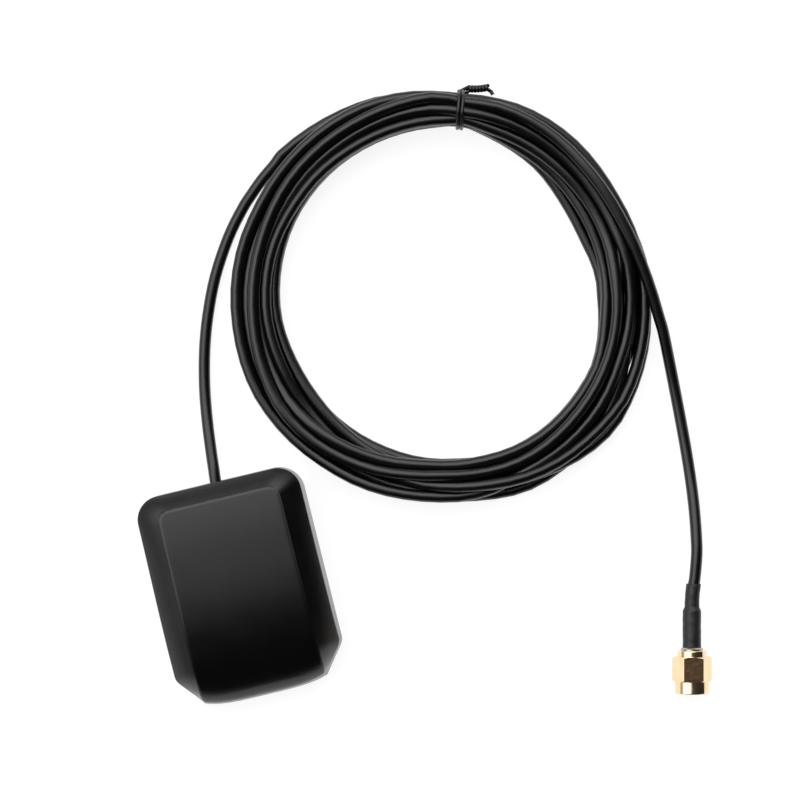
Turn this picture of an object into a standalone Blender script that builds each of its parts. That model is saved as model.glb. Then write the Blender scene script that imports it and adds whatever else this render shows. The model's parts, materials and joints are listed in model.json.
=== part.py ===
"""Magnetic-mount positioning antenna: a moulded puck, its coiled coaxial lead and a threaded plug.

Everything is in metres. The origin is under the middle of the puck, +Y points to the end where the
lead leaves, +Z points up, and the whole thing lies on the plane z = 0.
"""

from math import cos, hypot, pi, radians, sin, sqrt

import bmesh
import bpy
from mathutils import Matrix, Vector

# Puck housing, outside
PUCK_LENGTH = 0.0509
PUCK_WIDTH = 0.0399             # at its widest, just behind the nose
PUCK_HEIGHT = 0.0150
CORNER_RADIUS = 0.0060          # corners at the cable end, in plan
SIDE_TAPER = 0.0003             # each side comes in by this much towards the cable end
RIM_HEIGHT = 0.0098             # top of the upright lower wall, at the cable end
NOSE_RIM_HEIGHT = 0.0030        # and at the nose
RIM_DRAFT = 0.0005              # how far that wall leans in
HOUSING_LIFT = 0.0005           # the base stands this far out below the housing
PANEL_SIDE_SLOPE = 0.00545      # plan width of the sloping walls beside the raised top panel
PANEL_END_SLOPE = 0.0036        # and of the one at the cable end
PANEL_CORNER_RADIUS = 0.0027
PANEL_STEP = 0.0003             # how far the panel stands above the sloping walls
PANEL_EDGE_ROUND = 0.0005
PANEL_EDGE_SHOULDER = 0.3       # how much of that round lies outside its shoulder
NOSE_CHAMFER_WIDTH = 0.00535    # the two chamfers beside the bowed front edge, across the puck
NOSE_CHAMFER_LENGTH = 0.0069    # and along it
NOSE_CHAMFER_BLEND = 0.0008     # how far the corner between chamfer and side is rounded over
NOSE_BOW = 0.0013
NOSE_LIP_HEIGHT = 0.0034        # where the top meets the front edge
NOSE_SETBACK = 0.0008
NOSE_FULLNESS = 3.2             # exponent of the curve that the top follows down to the nose
LEVEL_LENGTH = 0.01525          # the top is level this far from the cable end

# Puck housing, inside
WALL = 0.0020
LIP_WALL = 0.0009               # thin wall around the base plate
BOSS_DIAMETER = 0.0044
NOSE_BOSS_INSET = 0.0055        # from the front edge and from the chamfers
PILOT_DEPTH = 0.0048

# Base plate, magnet and seal
BASE_THICKNESS = 0.0020
BASE_EDGE_CHAMFER = 0.0003
MAGNET_DIAMETER = 0.0200
MAGNET_THICKNESS = 0.0022
MAGNET_RECESS = 0.0002          # the magnet's face lies this far inside the base's face
CUP_WALL = 0.0010
CUP_ROOF = 0.0008
GASKET_WIDTH = 0.0011
GASKET_THICKNESS = 0.0006
POST_DIAMETER = 0.0024
POST_INSET = 0.0014             # from the board's edges to the posts under it
CUT_OVERSHOOT = 0.0015          # how far a cutter starts below the face that it opens

# Base screws
SCREW_HEAD_DIAMETER = 0.0034
SCREW_SHANK_DIAMETER = 0.0017
SCREW_LENGTH = 0.0060
SCREW_TIP_LENGTH = 0.0010
SCREW_TIP_DIAMETER = 0.0005
SCREW_RECESS_WIDTH = 0.0017
SCREW_RECESS_SLOT = 0.00045
SCREW_RECESS_DEPTH = 0.0006

# Electronics
BOARD_SIDE_MARGIN = 0.00625     # from the housing's outline to the board: at the sides
BOARD_NOSE_MARGIN = 0.00975     # at the nose
BOARD_CABLE_MARGIN = 0.00875    # at the cable end
BOARD_THICKNESS = 0.0008
CAN_SIDE_MARGIN = 0.0025        # from the board's edges to the shield can
CAN_NOSE_MARGIN = 0.0070
CAN_CABLE_MARGIN = 0.0050
CAN_HEIGHT = 0.0022
CAN_SHEET = 0.0003
TAPE_THICKNESS = 0.0003
TAPE_MARGIN = 0.0010            # the tape is this much smaller than the patch, all round
PATCH_SIDE_MARGIN = 0.0010      # from the board's sides to the patch
PATCH_NOSE_MARGIN = 0.0070      # and from its nose end, where the lead is soldered below
PATCH_CHAMFER = 0.0012
PATCH_HEADROOM = 0.00075        # from the head of the feed pin to the housing's roof
ELECTRODE_MARGIN = 0.0016
ELECTRODE_THICKNESS = 0.0001
FEED_OFFSET = 0.0020            # the feed pin stands this far off the patch's middle
FEED_PIN_DIAMETER = 0.0009
FEED_HEAD_DIAMETER = 0.0020
FEED_HEAD_FLAT_DIAMETER = 0.0014
FEED_HEAD_THICKNESS = 0.0003
FEED_PIN_TAIL = 0.0006          # stands out under the board
AMPLIFIER_SIZE = (0.0030, 0.0030, 0.0008)
AMPLIFIER_INSET = (0.0035, 0.0040)  # from the can's left wall and its cable end
FILTER_SIZE = (0.0038, 0.0038, 0.0011)
FILTER_INSET = (0.0036, 0.0046)     # from the can's right wall and its nose end
CHIP_EDGE = 0.0001

# Coaxial lead
LEAD_DIAMETER = 0.0027
BRAID_THICKNESS = 0.0002
DIELECTRIC_DIAMETER = 0.0015
CONDUCTOR_DIAMETER = 0.00046

# Cable exit in the puck
EXIT_HEIGHT = 0.0050            # middle of the lead where it leaves the housing
EXIT_WALL = 0.0026
EXIT_BLOCK_WIDTH = 0.0090
GROMMET_WALL = 0.0006
GROMMET_FLANGE = 0.0009
GROMMET_FLANGE_DIAMETER = 0.0056
CLAMP_RING_LENGTH = 0.0014
CLAMP_RING_WALL = 0.0005
CLAMP_RING_PLACE = 0.0012       # behind the grommet's flange
BOARD_JACKET_GAP = 0.0014       # the jacket is stripped this far before the board
BRAID_TAIL = 0.0030
DIELECTRIC_TAIL = 0.0013
CONDUCTOR_TAIL = 0.0010

# Coil of lead and the tie round it
COIL_CENTRE = (0.0615, 0.0555)
COIL_RADIUS = 0.04325           # to the middle of the bundle
COIL_BUNDLE_WIDTH = 0.0105
COIL_BUNDLE_HEIGHT = 0.0098
TIE_ANGLE = radians(71.2)       # round the coil, from +X
TIE_WIRE_DIAMETER = 0.0009
TIE_PITCH = 0.0010
TIE_TURNS = 2
TIE_SIDE_SQUEEZE = 0.00125      # the tie pulls the bundle in by this much at each side
TIE_TOP_SQUEEZE = 0.0007        # and this much at the top and below
TIE_TAIL_LENGTH = 0.0052
TIE_TAIL_TURNS = 3
TIE_TAIL_START = 0.0024         # beyond the turns round the bundle

# Routes of the lead where it isn't coiled, as points chosen by hand
PUCK_LEAD_ROUTE = (
    (0.0003, 0.0285, 0.0047), (0.0006, 0.0325, 0.0038), (0.0013, 0.0397, 0.0023),
    (0.0025, 0.0475, 0.0015), (0.0045, 0.0558, 0.0014), (0.0071, 0.0634, 0.0014),
    (0.0109, 0.0718, 0.0014), (0.0159, 0.0798, 0.0014), (0.0206, 0.0855, 0.0014),
    (0.0236, 0.0884, 0.0014), (0.0268, 0.0912, 0.0014), (0.0302, 0.0937, 0.0014),
    (0.0320, 0.0950, 0.0014),
)
PLUG_LEAD_ROUTE = (
    (0.1088, 0.0386, 0.0050), (0.1087, 0.0348, 0.0043), (0.1086, 0.0283, 0.0029),
    (0.1084, 0.0212, 0.0018), (0.1081, 0.0141, 0.0014), (0.1077, 0.0071, 0.0014),
    (0.1071, 0.0001, 0.0018), (0.1062, -0.0068, 0.0030), (0.1049, -0.0134, 0.0042),
    (0.1037, -0.0172, 0.0046),
)

# Threaded plug: sizes are measured along its axis from the coupling nut's open end
PLUG_FACE = (0.0956, -0.0478)   # middle of the coupling nut's open end
PLUG_DIRECTION = (-0.2334, -0.9724)
NUT_ACROSS_FLATS = 0.00794
NUT_TURN = radians(-8)          # how far the hexagon is turned from flat side up
COLLAR_DIAMETER = 0.0078
REAR_COLLAR_DIAMETER = 0.0067
FRONT_COLLAR_LENGTH = 0.0028
HEX_LENGTH = 0.0058
REAR_COLLAR_LENGTH = 0.0014
COLLAR_CHAMFER = 0.0003
HEX_CHAMFER = 0.00035
THREAD_DIAMETER = 0.0060        # smooth stand-in for the 1/4-36 thread
THREAD_DEPTH = 0.0047
THREAD_ENTRY = 0.0003
RELIEF_DEPTH = 0.0002
RELIEF_LENGTH = 0.0012
NUT_PLAY = 0.00025              # along the axis, between the nut's shoulder and the body's flange
FLANGE_CLEARANCE = 0.00015
FLANGE_THICKNESS = 0.00075
SLEEVE_LENGTH = 0.0018
SLEEVE_WALL = 0.00025
NECK_DIAMETER = 0.0049
RING_GROOVE_DEPTH = 0.0004
RING_GROOVE_IN_NUT = 0.0003
RING_THICKNESS = 0.0006
RING_MOUTH = 0.0016
NECK_OVERHANG = 0.00015         # the neck comes this far out behind the nut
SHOULDER_DIAMETER = 0.0054
SHOULDER_THICKNESS = 0.0005
STEM_LENGTH = 0.0048
STEM_WALL = 0.00025
INSULATOR_DIAMETER = 0.0040
INSULATOR_RECESS = 0.0002
PIN_DIAMETER = 0.00091
PIN_REACH = 0.0013              # the pin stands out of the sleeve by this much
PIN_TAPER = 0.0006
PIN_TIP_DIAMETER = 0.00036
PIN_BORE_DEPTH = 0.0022
FACE_GASKET_WALL = 0.0004
FACE_GASKET_LENGTH = 0.0006
FERRULE_LENGTH = 0.0084
FERRULE_WALL = 0.0002
SHRINK_WALL = 0.0003
SHRINK_TAIL_WALL = 0.0002
SHRINK_STEP_LENGTH = 0.0006
SHRINK_TAIL_LENGTH = 0.0049

# Clearances
SEAT_GAP = 0.00025              # between stacked pieces that rest on one another
FIT = 0.0001                    # radial gap of a piece in its own bore
SCREW_CLEARANCE = 0.0002
PART_CLEARANCE = 0.0002         # round a piece that drops into a pocket
CORD_GAP = 0.0003               # between the faces where two lengths of lead meet
FLOOR_CLEARANCE = 0.0001        # under the corners of the nut and under the tie

# How finely curves are divided
NOSE_STEPS = 10
CHAMFER_STEPS = 8
SIDE_STEPS = 5
CORNER_STEPS = 6
FINE_SEGMENTS = 36
SMALL_SEGMENTS = 24
COIL_STEPS = 64
BUNDLE_STEPS = 14
TIE_STEPS = 14
TIE_TAIL_STEPS = 6
ROUTE_STEPS = 20
LEAD_POINT_SPACING = 2.4        # in diameters

half_length = PUCK_LENGTH / 2
half_width = PUCK_WIDTH / 2
nose_half = half_width - NOSE_CHAMFER_WIDTH
panel_half = half_width - PANEL_SIDE_SLOPE
chamfer_slope = NOSE_CHAMFER_WIDTH / NOSE_CHAMFER_LENGTH
crest_y = half_length - LEVEL_LENGTH
lead_radius = LEAD_DIAMETER / 2

# Heights of the stack inside the puck, from the base up
magnet_top = MAGNET_RECESS + MAGNET_THICKNESS
pocket_roof = magnet_top + SEAT_GAP
cup_top = pocket_roof + CUP_ROOF
gasket_bottom = BASE_THICKNESS + SEAT_GAP
ledge_height = gasket_bottom + GASKET_THICKNESS + SEAT_GAP
can_bottom = cup_top + SEAT_GAP
can_top = can_bottom + CAN_HEIGHT
board_bottom = can_top + SEAT_GAP
board_top = board_bottom + BOARD_THICKNESS
tape_bottom = board_top + SEAT_GAP
patch_bottom = tape_bottom + TAPE_THICKNESS + SEAT_GAP
feed_head_top = PUCK_HEIGHT - WALL - PATCH_HEADROOM
feed_head_bottom = feed_head_top - FEED_HEAD_THICKNESS
patch_top = feed_head_bottom - FIT - ELECTRODE_THICKNESS

# Plans of the flat pieces inside, each as its lowest and highest (x, y)
board_plan = ((BOARD_SIDE_MARGIN - half_width, BOARD_NOSE_MARGIN - half_length),
              (half_width - BOARD_SIDE_MARGIN, half_length - BOARD_CABLE_MARGIN))
can_plan = ((board_plan[0][0] + CAN_SIDE_MARGIN, board_plan[0][1] + CAN_NOSE_MARGIN),
            (board_plan[1][0] - CAN_SIDE_MARGIN, board_plan[1][1] - CAN_CABLE_MARGIN))
patch_plan = ((board_plan[0][0] + PATCH_SIDE_MARGIN, board_plan[0][1] + PATCH_NOSE_MARGIN),
              (board_plan[1][0] - PATCH_SIDE_MARGIN, board_plan[1][1]))
feed_y = (patch_plan[0][1] + patch_plan[1][1]) / 2 - FEED_OFFSET


def start_scene():
    """Empty the scene and open one collection for the parts and one for the cutters."""
    for thing in list(bpy.data.objects):
        bpy.data.objects.remove(thing, do_unlink=True)
    made = []
    for name in ("gps_antenna", "cutters"):
        collection = bpy.data.collections.get(name) or bpy.data.collections.new(name)
        if name not in bpy.context.scene.collection.children:
            bpy.context.scene.collection.children.link(collection)
        made.append(collection)
    return made


PARTS, CUTTERS = start_scene()


def finish(name, hex_colour, roughness, metallic=0.0):
    """Material with one colour, given as an sRGB hex value."""
    material = bpy.data.materials.new(name)
    material.use_nodes = True
    shader = material.node_tree.nodes["Principled BSDF"]
    channels = [int(hex_colour[i:i + 2], 16) / 255 for i in (1, 3, 5)]
    linear = [c / 12.92 if c <= 0.04045 else ((c + 0.055) / 1.055) ** 2.4 for c in channels]
    shader.inputs["Base Color"].default_value = (*linear, 1.0)
    shader.inputs["Roughness"].default_value = roughness
    shader.inputs["Metallic"].default_value = metallic
    return material


def add_part(name, data, material, smooth_angle=None):
    """Put a mesh or curve into the part's collection as a named sub-part."""
    part = bpy.data.objects.new(name, data)
    data.materials.append(material)
    PARTS.objects.link(part)
    if smooth_angle is not None:
        data.shade_smooth()
        data.set_sharp_from_angle(angle=radians(smooth_angle))
    return part


def add_cutter(name, data):
    """Put a mesh among the cutters, hidden from renders and drawn as wire."""
    cutter = bpy.data.objects.new(name, data)
    CUTTERS.objects.link(cutter)
    cutter.hide_render = True
    cutter.display_type = "WIRE"
    return cutter


def to_mesh(name, build):
    """Mesh data from a bmesh that is then freed."""
    mesh = bpy.data.meshes.new(name)
    build.to_mesh(mesh)
    build.free()
    return mesh


def box(name, low, high):
    """Box between two corners."""
    build = bmesh.new()
    bmesh.ops.create_cube(build, size=1.0)
    middle = [(a + b) / 2 for a, b in zip(low, high)]
    sides = [b - a for a, b in zip(low, high)]
    bmesh.ops.scale(build, vec=sides, verts=build.verts)
    bmesh.ops.translate(build, vec=middle, verts=build.verts)
    return to_mesh(name, build)


def cylinders(name, places, radius, bottom, top, top_radius=None, segments=SMALL_SEGMENTS):
    """Upright cylinders or cones of one size, one at each (x, y), in one mesh."""
    build = bmesh.new()
    for x, y in places:
        bmesh.ops.create_cone(
            build, cap_ends=True, segments=segments, radius1=radius,
            radius2=radius if top_radius is None else top_radius, depth=top - bottom,
            matrix=Matrix.Translation((x, y, (bottom + top) / 2)))
    return to_mesh(name, build)


def profile_mesh(name, profile):
    """Edges through (radius, height) points at +X, closed into a loop unless it ends on the axis."""
    mesh = bpy.data.meshes.new(name)
    edges = [(i, i + 1) for i in range(len(profile) - 1)]
    if profile[0][0] > 0 or profile[-1][0] > 0:
        edges.append((len(profile) - 1, 0))
    mesh.from_pydata([(radius, 0, height) for radius, height in profile], edges, [])
    return mesh


def turn(thing, segments):
    """Turn a profile round the object's own Z axis."""
    screw = thing.modifiers.new("turned", "SCREW")
    screw.axis = "Z"
    screw.angle = 2 * pi
    screw.steps = segments
    screw.render_steps = segments
    screw.use_merge_vertices = True
    screw.merge_threshold = 1e-6
    screw.use_smooth_shade = True


def turned_part(name, profile, material, segments=SMALL_SEGMENTS):
    """Sub-part turned from a profile that runs down its outer side and up its bore."""
    part = add_part(name, profile_mesh(name, profile), material)
    turn(part, segments)
    return part


def boolean(thing, tool, operation="DIFFERENCE"):
    """Cut, join or intersect one object with another, exactly."""
    step = thing.modifiers.new(tool.name, "BOOLEAN")
    step.solver = "EXACT"
    step.operation = operation
    step.object = tool


def rounded_min(a, b, blend):
    """The smaller of two values, with the corner between them rounded over."""
    closeness = max(blend - abs(a - b), 0) / blend
    return min(a, b) - closeness * closeness * blend / 4


def nose_edge(x, nose_y, corner_x):
    """Bowed front edge of the puck: y at x."""
    return nose_y + NOSE_BOW * (x / corner_x) ** 4


def plan_rows(side_x, end_y, corner_radius, corner_x, nose_y):
    """One level of the puck seen from above, as rows of (x, y) points from its nose to its cable end.

    side_x is half its width behind the nose, corner_x half the width of the nose, nose_y its tip.
    All levels have the same number of rows and points, so that they can be joined one above another.
    """
    across = [2 * i / NOSE_STEPS - 1 for i in range(NOSE_STEPS + 1)]
    rows = [[(corner_x * f, nose_edge(corner_x * f, nose_y, corner_x)) for f in across]]
    corner_y = nose_y + NOSE_BOW
    chamfer_end = corner_y + NOSE_CHAMFER_LENGTH
    arc_start = end_y - corner_radius
    turns = [pi / 2 * k / CHAMFER_STEPS for k in range(1, CHAMFER_STEPS + 1)]
    levels = [corner_y + NOSE_CHAMFER_LENGTH * (1 - cos(turn)) for turn in turns]
    levels += [chamfer_end + (arc_start - chamfer_end) * k / SIDE_STEPS for k in range(1, SIDE_STEPS + 1)]
    ends = []
    for y in levels:
        taper = SIDE_TAPER * (y - chamfer_end) / (arc_start - chamfer_end)
        chamfer_x = corner_x + chamfer_slope * (y - corner_y)
        ends.append((rounded_min(side_x - taper, chamfer_x, NOSE_CHAMFER_BLEND), y))
    for k in range(1, CORNER_STEPS + 1):
        angle = pi / 2 * k / CORNER_STEPS
        x = side_x - SIDE_TAPER - corner_radius * (1 - cos(angle))
        ends.append((x, arc_start + corner_radius * sin(angle)))
    rows += [[(x * f, y) for f in across] for x, y in ends]
    return rows


def around(rows):
    """Edge of a grid of rows, anticlockwise from its first point."""
    right = [row[-1] for row in rows[1:-1]]
    left = [row[0] for row in rows[-2:0:-1]]
    return rows[0] + right + rows[-1][::-1] + left


def outline(inset):
    """Plan of the housing's lower wall, moved in by inset, as a loop."""
    corner_shift = inset * (hypot(1, chamfer_slope) - chamfer_slope)
    return around(plan_rows(half_width - inset, half_length - inset, CORNER_RADIUS - inset,
                            nose_half - corner_shift, inset - half_length))


def panel_rows(inset):
    """Plan of the raised top panel, moved in by inset, as rows."""
    side_x = panel_half - inset
    return plan_rows(side_x, half_length - PANEL_END_SLOPE - inset, PANEL_CORNER_RADIUS - inset,
                     side_x - NOSE_SETBACK / 2, NOSE_SETBACK + inset - half_length)


def roof_height(x, y, inset=0.0):
    """Height of the top: level at the cable end, then falling in one curve to the nose."""
    tip = nose_edge(x, inset - half_length, nose_half)
    fall = min(max((crest_y - y) / (crest_y - tip), 0), 1)
    return NOSE_LIP_HEIGHT + (PUCK_HEIGHT - inset - NOSE_LIP_HEIGHT) * sqrt(1 - fall ** NOSE_FULLNESS)


def rim_line(inset, panel_edge):
    """Top of the upright wall, moved in by inset: it sinks towards the nose as the panel's edge does."""
    rim = []
    for (x, y), (_, _, edge) in zip(outline(inset), panel_edge):
        share = (edge + PANEL_STEP - NOSE_LIP_HEIGHT) / (PUCK_HEIGHT - NOSE_LIP_HEIGHT)
        rim.append((x, y, NOSE_RIM_HEIGHT + (RIM_HEIGHT - NOSE_RIM_HEIGHT) * share))
    return rim


def raised(points, height):
    """Plan points lifted to one height, or to the height that a function gives."""
    return [(x, y, height(x, y) if callable(height) else height) for x, y in points]


def loft(name, loops, roof=None):
    """Closed solid through loops of equal length, with a flat floor and a flat or gridded top."""
    build = bmesh.new()
    rings = [[build.verts.new(point) for point in loop] for loop in loops]
    if roof:
        grid = [[build.verts.new(point) for point in row] for row in roof]
        rings.append(around(grid))
        for low, high in zip(grid, grid[1:]):
            for i in range(len(low) - 1):
                build.faces.new((low[i], low[i + 1], high[i + 1], high[i]))
    else:
        build.faces.new(rings[-1])
    build.faces.new(rings[0][::-1])
    for low, high in zip(rings, rings[1:]):
        for i, corner in enumerate(low):
            j = (i + 1) % len(low)
            build.faces.new((corner, low[j], high[j], high[i]))
    return to_mesh(name, build)


def smooth_route(points, spacing):
    """Points at an even spacing along a Catmull-Rom curve through the points given."""
    points = [Vector(p) for p in points]
    ends = [2 * points[0] - points[1]] + points + [2 * points[-1] - points[-2]]
    fine = []
    for a, b, c, d in zip(ends, ends[1:], ends[2:], ends[3:]):
        for step in range(ROUTE_STEPS):
            t = step / ROUTE_STEPS
            fine.append(0.5 * (2 * b + (c - a) * t + (2 * a - 5 * b + 4 * c - d) * t ** 2
                               + (3 * b - a - 3 * c + d) * t ** 3))
    fine.append(points[-1])
    lengths = [0.0]
    for a, b in zip(fine, fine[1:]):
        lengths.append(lengths[-1] + (b - a).length)
    count = max(2, round(lengths[-1] / spacing))
    even = []
    k = 0
    for i in range(count + 1):
        target = lengths[-1] * i / count
        while k < len(fine) - 2 and lengths[k + 1] < target:
            k += 1
        span = lengths[k + 1] - lengths[k]
        even.append(fine[k].lerp(fine[k + 1], (target - lengths[k]) / span if span else 0))
    return even


def tube(name, points, diameter, material, resolution=2):
    """Round tube along a line of points, with flat closed ends."""
    curve = bpy.data.curves.new(name, "CURVE")
    curve.dimensions = "3D"
    curve.bevel_depth = diameter / 2
    curve.bevel_resolution = resolution
    curve.use_fill_caps = True
    spline = curve.splines.new("POLY")
    spline.points.add(len(points) - 1)
    for place, point in zip(spline.points, points):
        place.co = (*point, 1.0)
    return add_part(name, curve, material)


# Materials, named for what the pieces are made of
HOUSING_ABS = finish("housing_abs", "#1c1c1d", 0.45)
BASE_ABS = finish("base_abs", "#18181a", 0.55)
FERRITE = finish("magnet_ferrite", "#3a3a3c", 0.6)
SILICONE = finish("seal_silicone", "#26272a", 0.7)
SCREW_STEEL = finish("screw_steel", "#8c8e92", 0.35, 1.0)
TINNED_SHEET = finish("tinned_sheet", "#b9bbbd", 0.4, 1.0)
BOARD_LAMINATE = finish("board_laminate", "#1f5a34", 0.5)
CHIP_EPOXY = finish("chip_epoxy", "#161617", 0.6)
FILTER_CERAMIC = finish("filter_ceramic", "#c9b27a", 0.5)
FOAM_TAPE = finish("foam_tape", "#e6e2d6", 0.9)
PATCH_CERAMIC = finish("patch_ceramic", "#c8bda6", 0.6)
PIN_SOLDER = finish("pin_solder", "#c2c4c6", 0.3, 1.0)
GROMMET_RUBBER = finish("grommet_rubber", "#151516", 0.65)
JACKET_PVC = finish("jacket_pvc", "#17171a", 0.35)
TIE_PVC = finish("tie_pvc", "#101011", 0.4)
SHRINK_POLYOLEFIN = finish("shrink_polyolefin", "#232427", 0.5)
GOLD_PLATE = finish("gold_plate", "#e3b565", 0.2, 1.0)
RING_BRONZE = finish("ring_bronze", "#b98a4a", 0.3, 1.0)
NICKEL_PLATE = finish("nickel_plate", "#c9c6bd", 0.25, 1.0)
INSULATOR_PTFE = finish("insulator_ptfe", "#f0efe9", 0.5)


def screw_places():
    """The four base screws: at the corner centres, and set in from the nose's edge and chamfers."""
    corner = (half_width - SIDE_TAPER - CORNER_RADIUS, half_length - CORNER_RADIUS)
    nose_y = NOSE_BOSS_INSET - half_length
    chamfer_x = nose_half + chamfer_slope * (nose_y + half_length - NOSE_BOW)
    nose_x = chamfer_x - NOSE_BOSS_INSET * hypot(1, chamfer_slope)
    return [(-corner[0], corner[1]), corner, (nose_x, nose_y), (-nose_x, nose_y)]


def end_wall_y(height):
    """The upright wall at the cable end: y of its outer face at a height."""
    return half_length - RIM_DRAFT * (height - HOUSING_LIFT) / (RIM_HEIGHT - HOUSING_LIFT)


# Places along the lead where it comes out of the puck
grommet_radius = lead_radius + FIT + GROMMET_WALL
exit_y = end_wall_y(EXIT_HEIGHT + grommet_radius)
exit_face_y = exit_y - EXIT_WALL
flange_y = exit_face_y - SEAT_GAP
clamp_ring_y = flange_y - GROMMET_FLANGE - CLAMP_RING_PLACE


def make_housing():
    """Moulded top shell: a lofted dome with a raised panel, cored out from below."""
    shoulder_inset = PANEL_EDGE_ROUND * PANEL_EDGE_SHOULDER
    shoulder_drop = PANEL_STEP * PANEL_EDGE_SHOULDER
    panel_edge = raised(around(panel_rows(0.0)), lambda x, y: roof_height(x, y) - PANEL_STEP)
    walls = [
        raised(outline(0.0), HOUSING_LIFT),
        rim_line(RIM_DRAFT, panel_edge),
        panel_edge,
        raised(around(panel_rows(shoulder_inset)), lambda x, y: roof_height(x, y) - shoulder_drop),
    ]
    roof = [raised(row, roof_height) for row in panel_rows(PANEL_EDGE_ROUND)]
    housing = add_part("top_housing", loft("top_housing", walls, roof), HOUSING_ABS, smooth_angle=20)

    inner_walls = [
        raised(outline(WALL + RIM_DRAFT), -CUT_OVERSHOOT),
        rim_line(WALL + RIM_DRAFT, panel_edge),
    ]
    inner_roof = [raised(row, lambda x, y: roof_height(x, y, WALL)) for row in panel_rows(WALL)]
    core = add_cutter("housing_core", loft("housing_core", inner_walls, inner_roof))
    recess = add_cutter("base_recess", loft("base_recess", [
        raised(outline(LIP_WALL), -CUT_OVERSHOOT),
        raised(outline(LIP_WALL), ledge_height),
    ]))

    # What the core leaves standing: four screw bosses and the thick wall at the cable exit
    bosses = add_cutter("boss_columns", cylinders(
        "boss_columns", screw_places(), BOSS_DIAMETER / 2, BASE_THICKNESS + SEAT_GAP, PUCK_HEIGHT + WALL))
    exit_block = add_cutter("exit_block", box(
        "exit_block", (-EXIT_BLOCK_WIDTH / 2, exit_face_y, ledge_height),
        (EXIT_BLOCK_WIDTH / 2, half_length + WALL, PUCK_HEIGHT + WALL)))
    boolean(core, bosses)
    boolean(core, exit_block)
    boolean(recess, bosses)
    boolean(housing, core)
    boolean(housing, recess)

    pilots = add_cutter("pilot_holes", cylinders(
        "pilot_holes", screw_places(), SCREW_SHANK_DIAMETER / 2 + SCREW_CLEARANCE,
        0, BASE_THICKNESS + SEAT_GAP + PILOT_DEPTH, segments=16))
    boolean(housing, pilots)
    exit_hole = add_cutter("exit_hole", cylinders(
        "exit_hole", [(0, 0)], grommet_radius + FIT, 0, PUCK_LENGTH, segments=SMALL_SEGMENTS))
    exit_hole.location = (0, exit_face_y - EXIT_WALL, EXIT_HEIGHT)
    exit_hole.rotation_euler = (-pi / 2, 0, 0)
    boolean(housing, exit_hole)


def make_base():
    """Base plate that closes the housing: a magnet cup, countersunk screw holes and board posts."""
    inset = LIP_WALL + PART_CLEARANCE
    base = add_part("base_plate", loft("base_plate", [
        raised(outline(inset + BASE_EDGE_CHAMFER), 0),
        raised(outline(inset), BASE_EDGE_CHAMFER),
        raised(outline(inset), BASE_THICKNESS),
    ]), BASE_ABS, smooth_angle=30)
    sunk = BASE_THICKNESS / 2
    pocket_radius = MAGNET_DIAMETER / 2 + PART_CLEARANCE
    cup = add_cutter("magnet_cup", cylinders(
        "magnet_cup", [(0, 0)], pocket_radius + CUP_WALL, sunk, cup_top, segments=FINE_SEGMENTS))
    boolean(base, cup, "UNION")
    (low_x, low_y), (high_x, high_y) = board_plan
    post_places = [(x, y) for x in (low_x + POST_INSET, high_x - POST_INSET)
                   for y in (low_y + POST_INSET, high_y - POST_INSET)]
    posts = add_cutter("board_posts", cylinders(
        "board_posts", post_places, POST_DIAMETER / 2, sunk, board_bottom - SEAT_GAP, segments=12))
    boolean(base, posts, "UNION")
    pocket = add_cutter("magnet_pocket", cylinders(
        "magnet_pocket", [(0, 0)], pocket_radius, -sunk, pocket_roof, segments=FINE_SEGMENTS))
    boolean(base, pocket)

    shank_radius = SCREW_SHANK_DIAMETER / 2 + SCREW_CLEARANCE
    head_radius = SCREW_HEAD_DIAMETER / 2 + SCREW_CLEARANCE
    holes = add_cutter("screw_holes", cylinders(
        "screw_holes", screw_places(), shank_radius, -sunk, BASE_THICKNESS + sunk, segments=16))
    sinks = add_cutter("screw_countersinks", cylinders(
        "screw_countersinks", screw_places(), head_radius + sunk, -sunk,
        head_radius - shank_radius, top_radius=shank_radius, segments=16))
    boolean(base, holes)
    boolean(base, sinks)


def make_magnet():
    """Ferrite disc pressed into the base's cup."""
    radius = MAGNET_DIAMETER / 2
    edge = MAGNET_RECESS
    turned_part("magnet", [
        (0, magnet_top), (radius - edge, magnet_top), (radius, magnet_top - edge),
        (radius, MAGNET_RECESS + edge), (radius - edge, MAGNET_RECESS), (0, MAGNET_RECESS),
    ], FERRITE, FINE_SEGMENTS)


def make_gasket():
    """Flat silicone seal between the base plate's rim and the housing's ledge."""
    outer = LIP_WALL + PART_CLEARANCE
    gasket = add_part("housing_gasket", loft("housing_gasket", [
        raised(outline(outer), gasket_bottom),
        raised(outline(outer), gasket_bottom + GASKET_THICKNESS),
    ]), SILICONE)
    window = add_cutter("gasket_window", loft("gasket_window", [
        raised(outline(outer + GASKET_WIDTH), gasket_bottom - GASKET_THICKNESS),
        raised(outline(outer + GASKET_WIDTH), gasket_bottom + 2 * GASKET_THICKNESS),
    ]))
    boolean(gasket, window)


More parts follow.
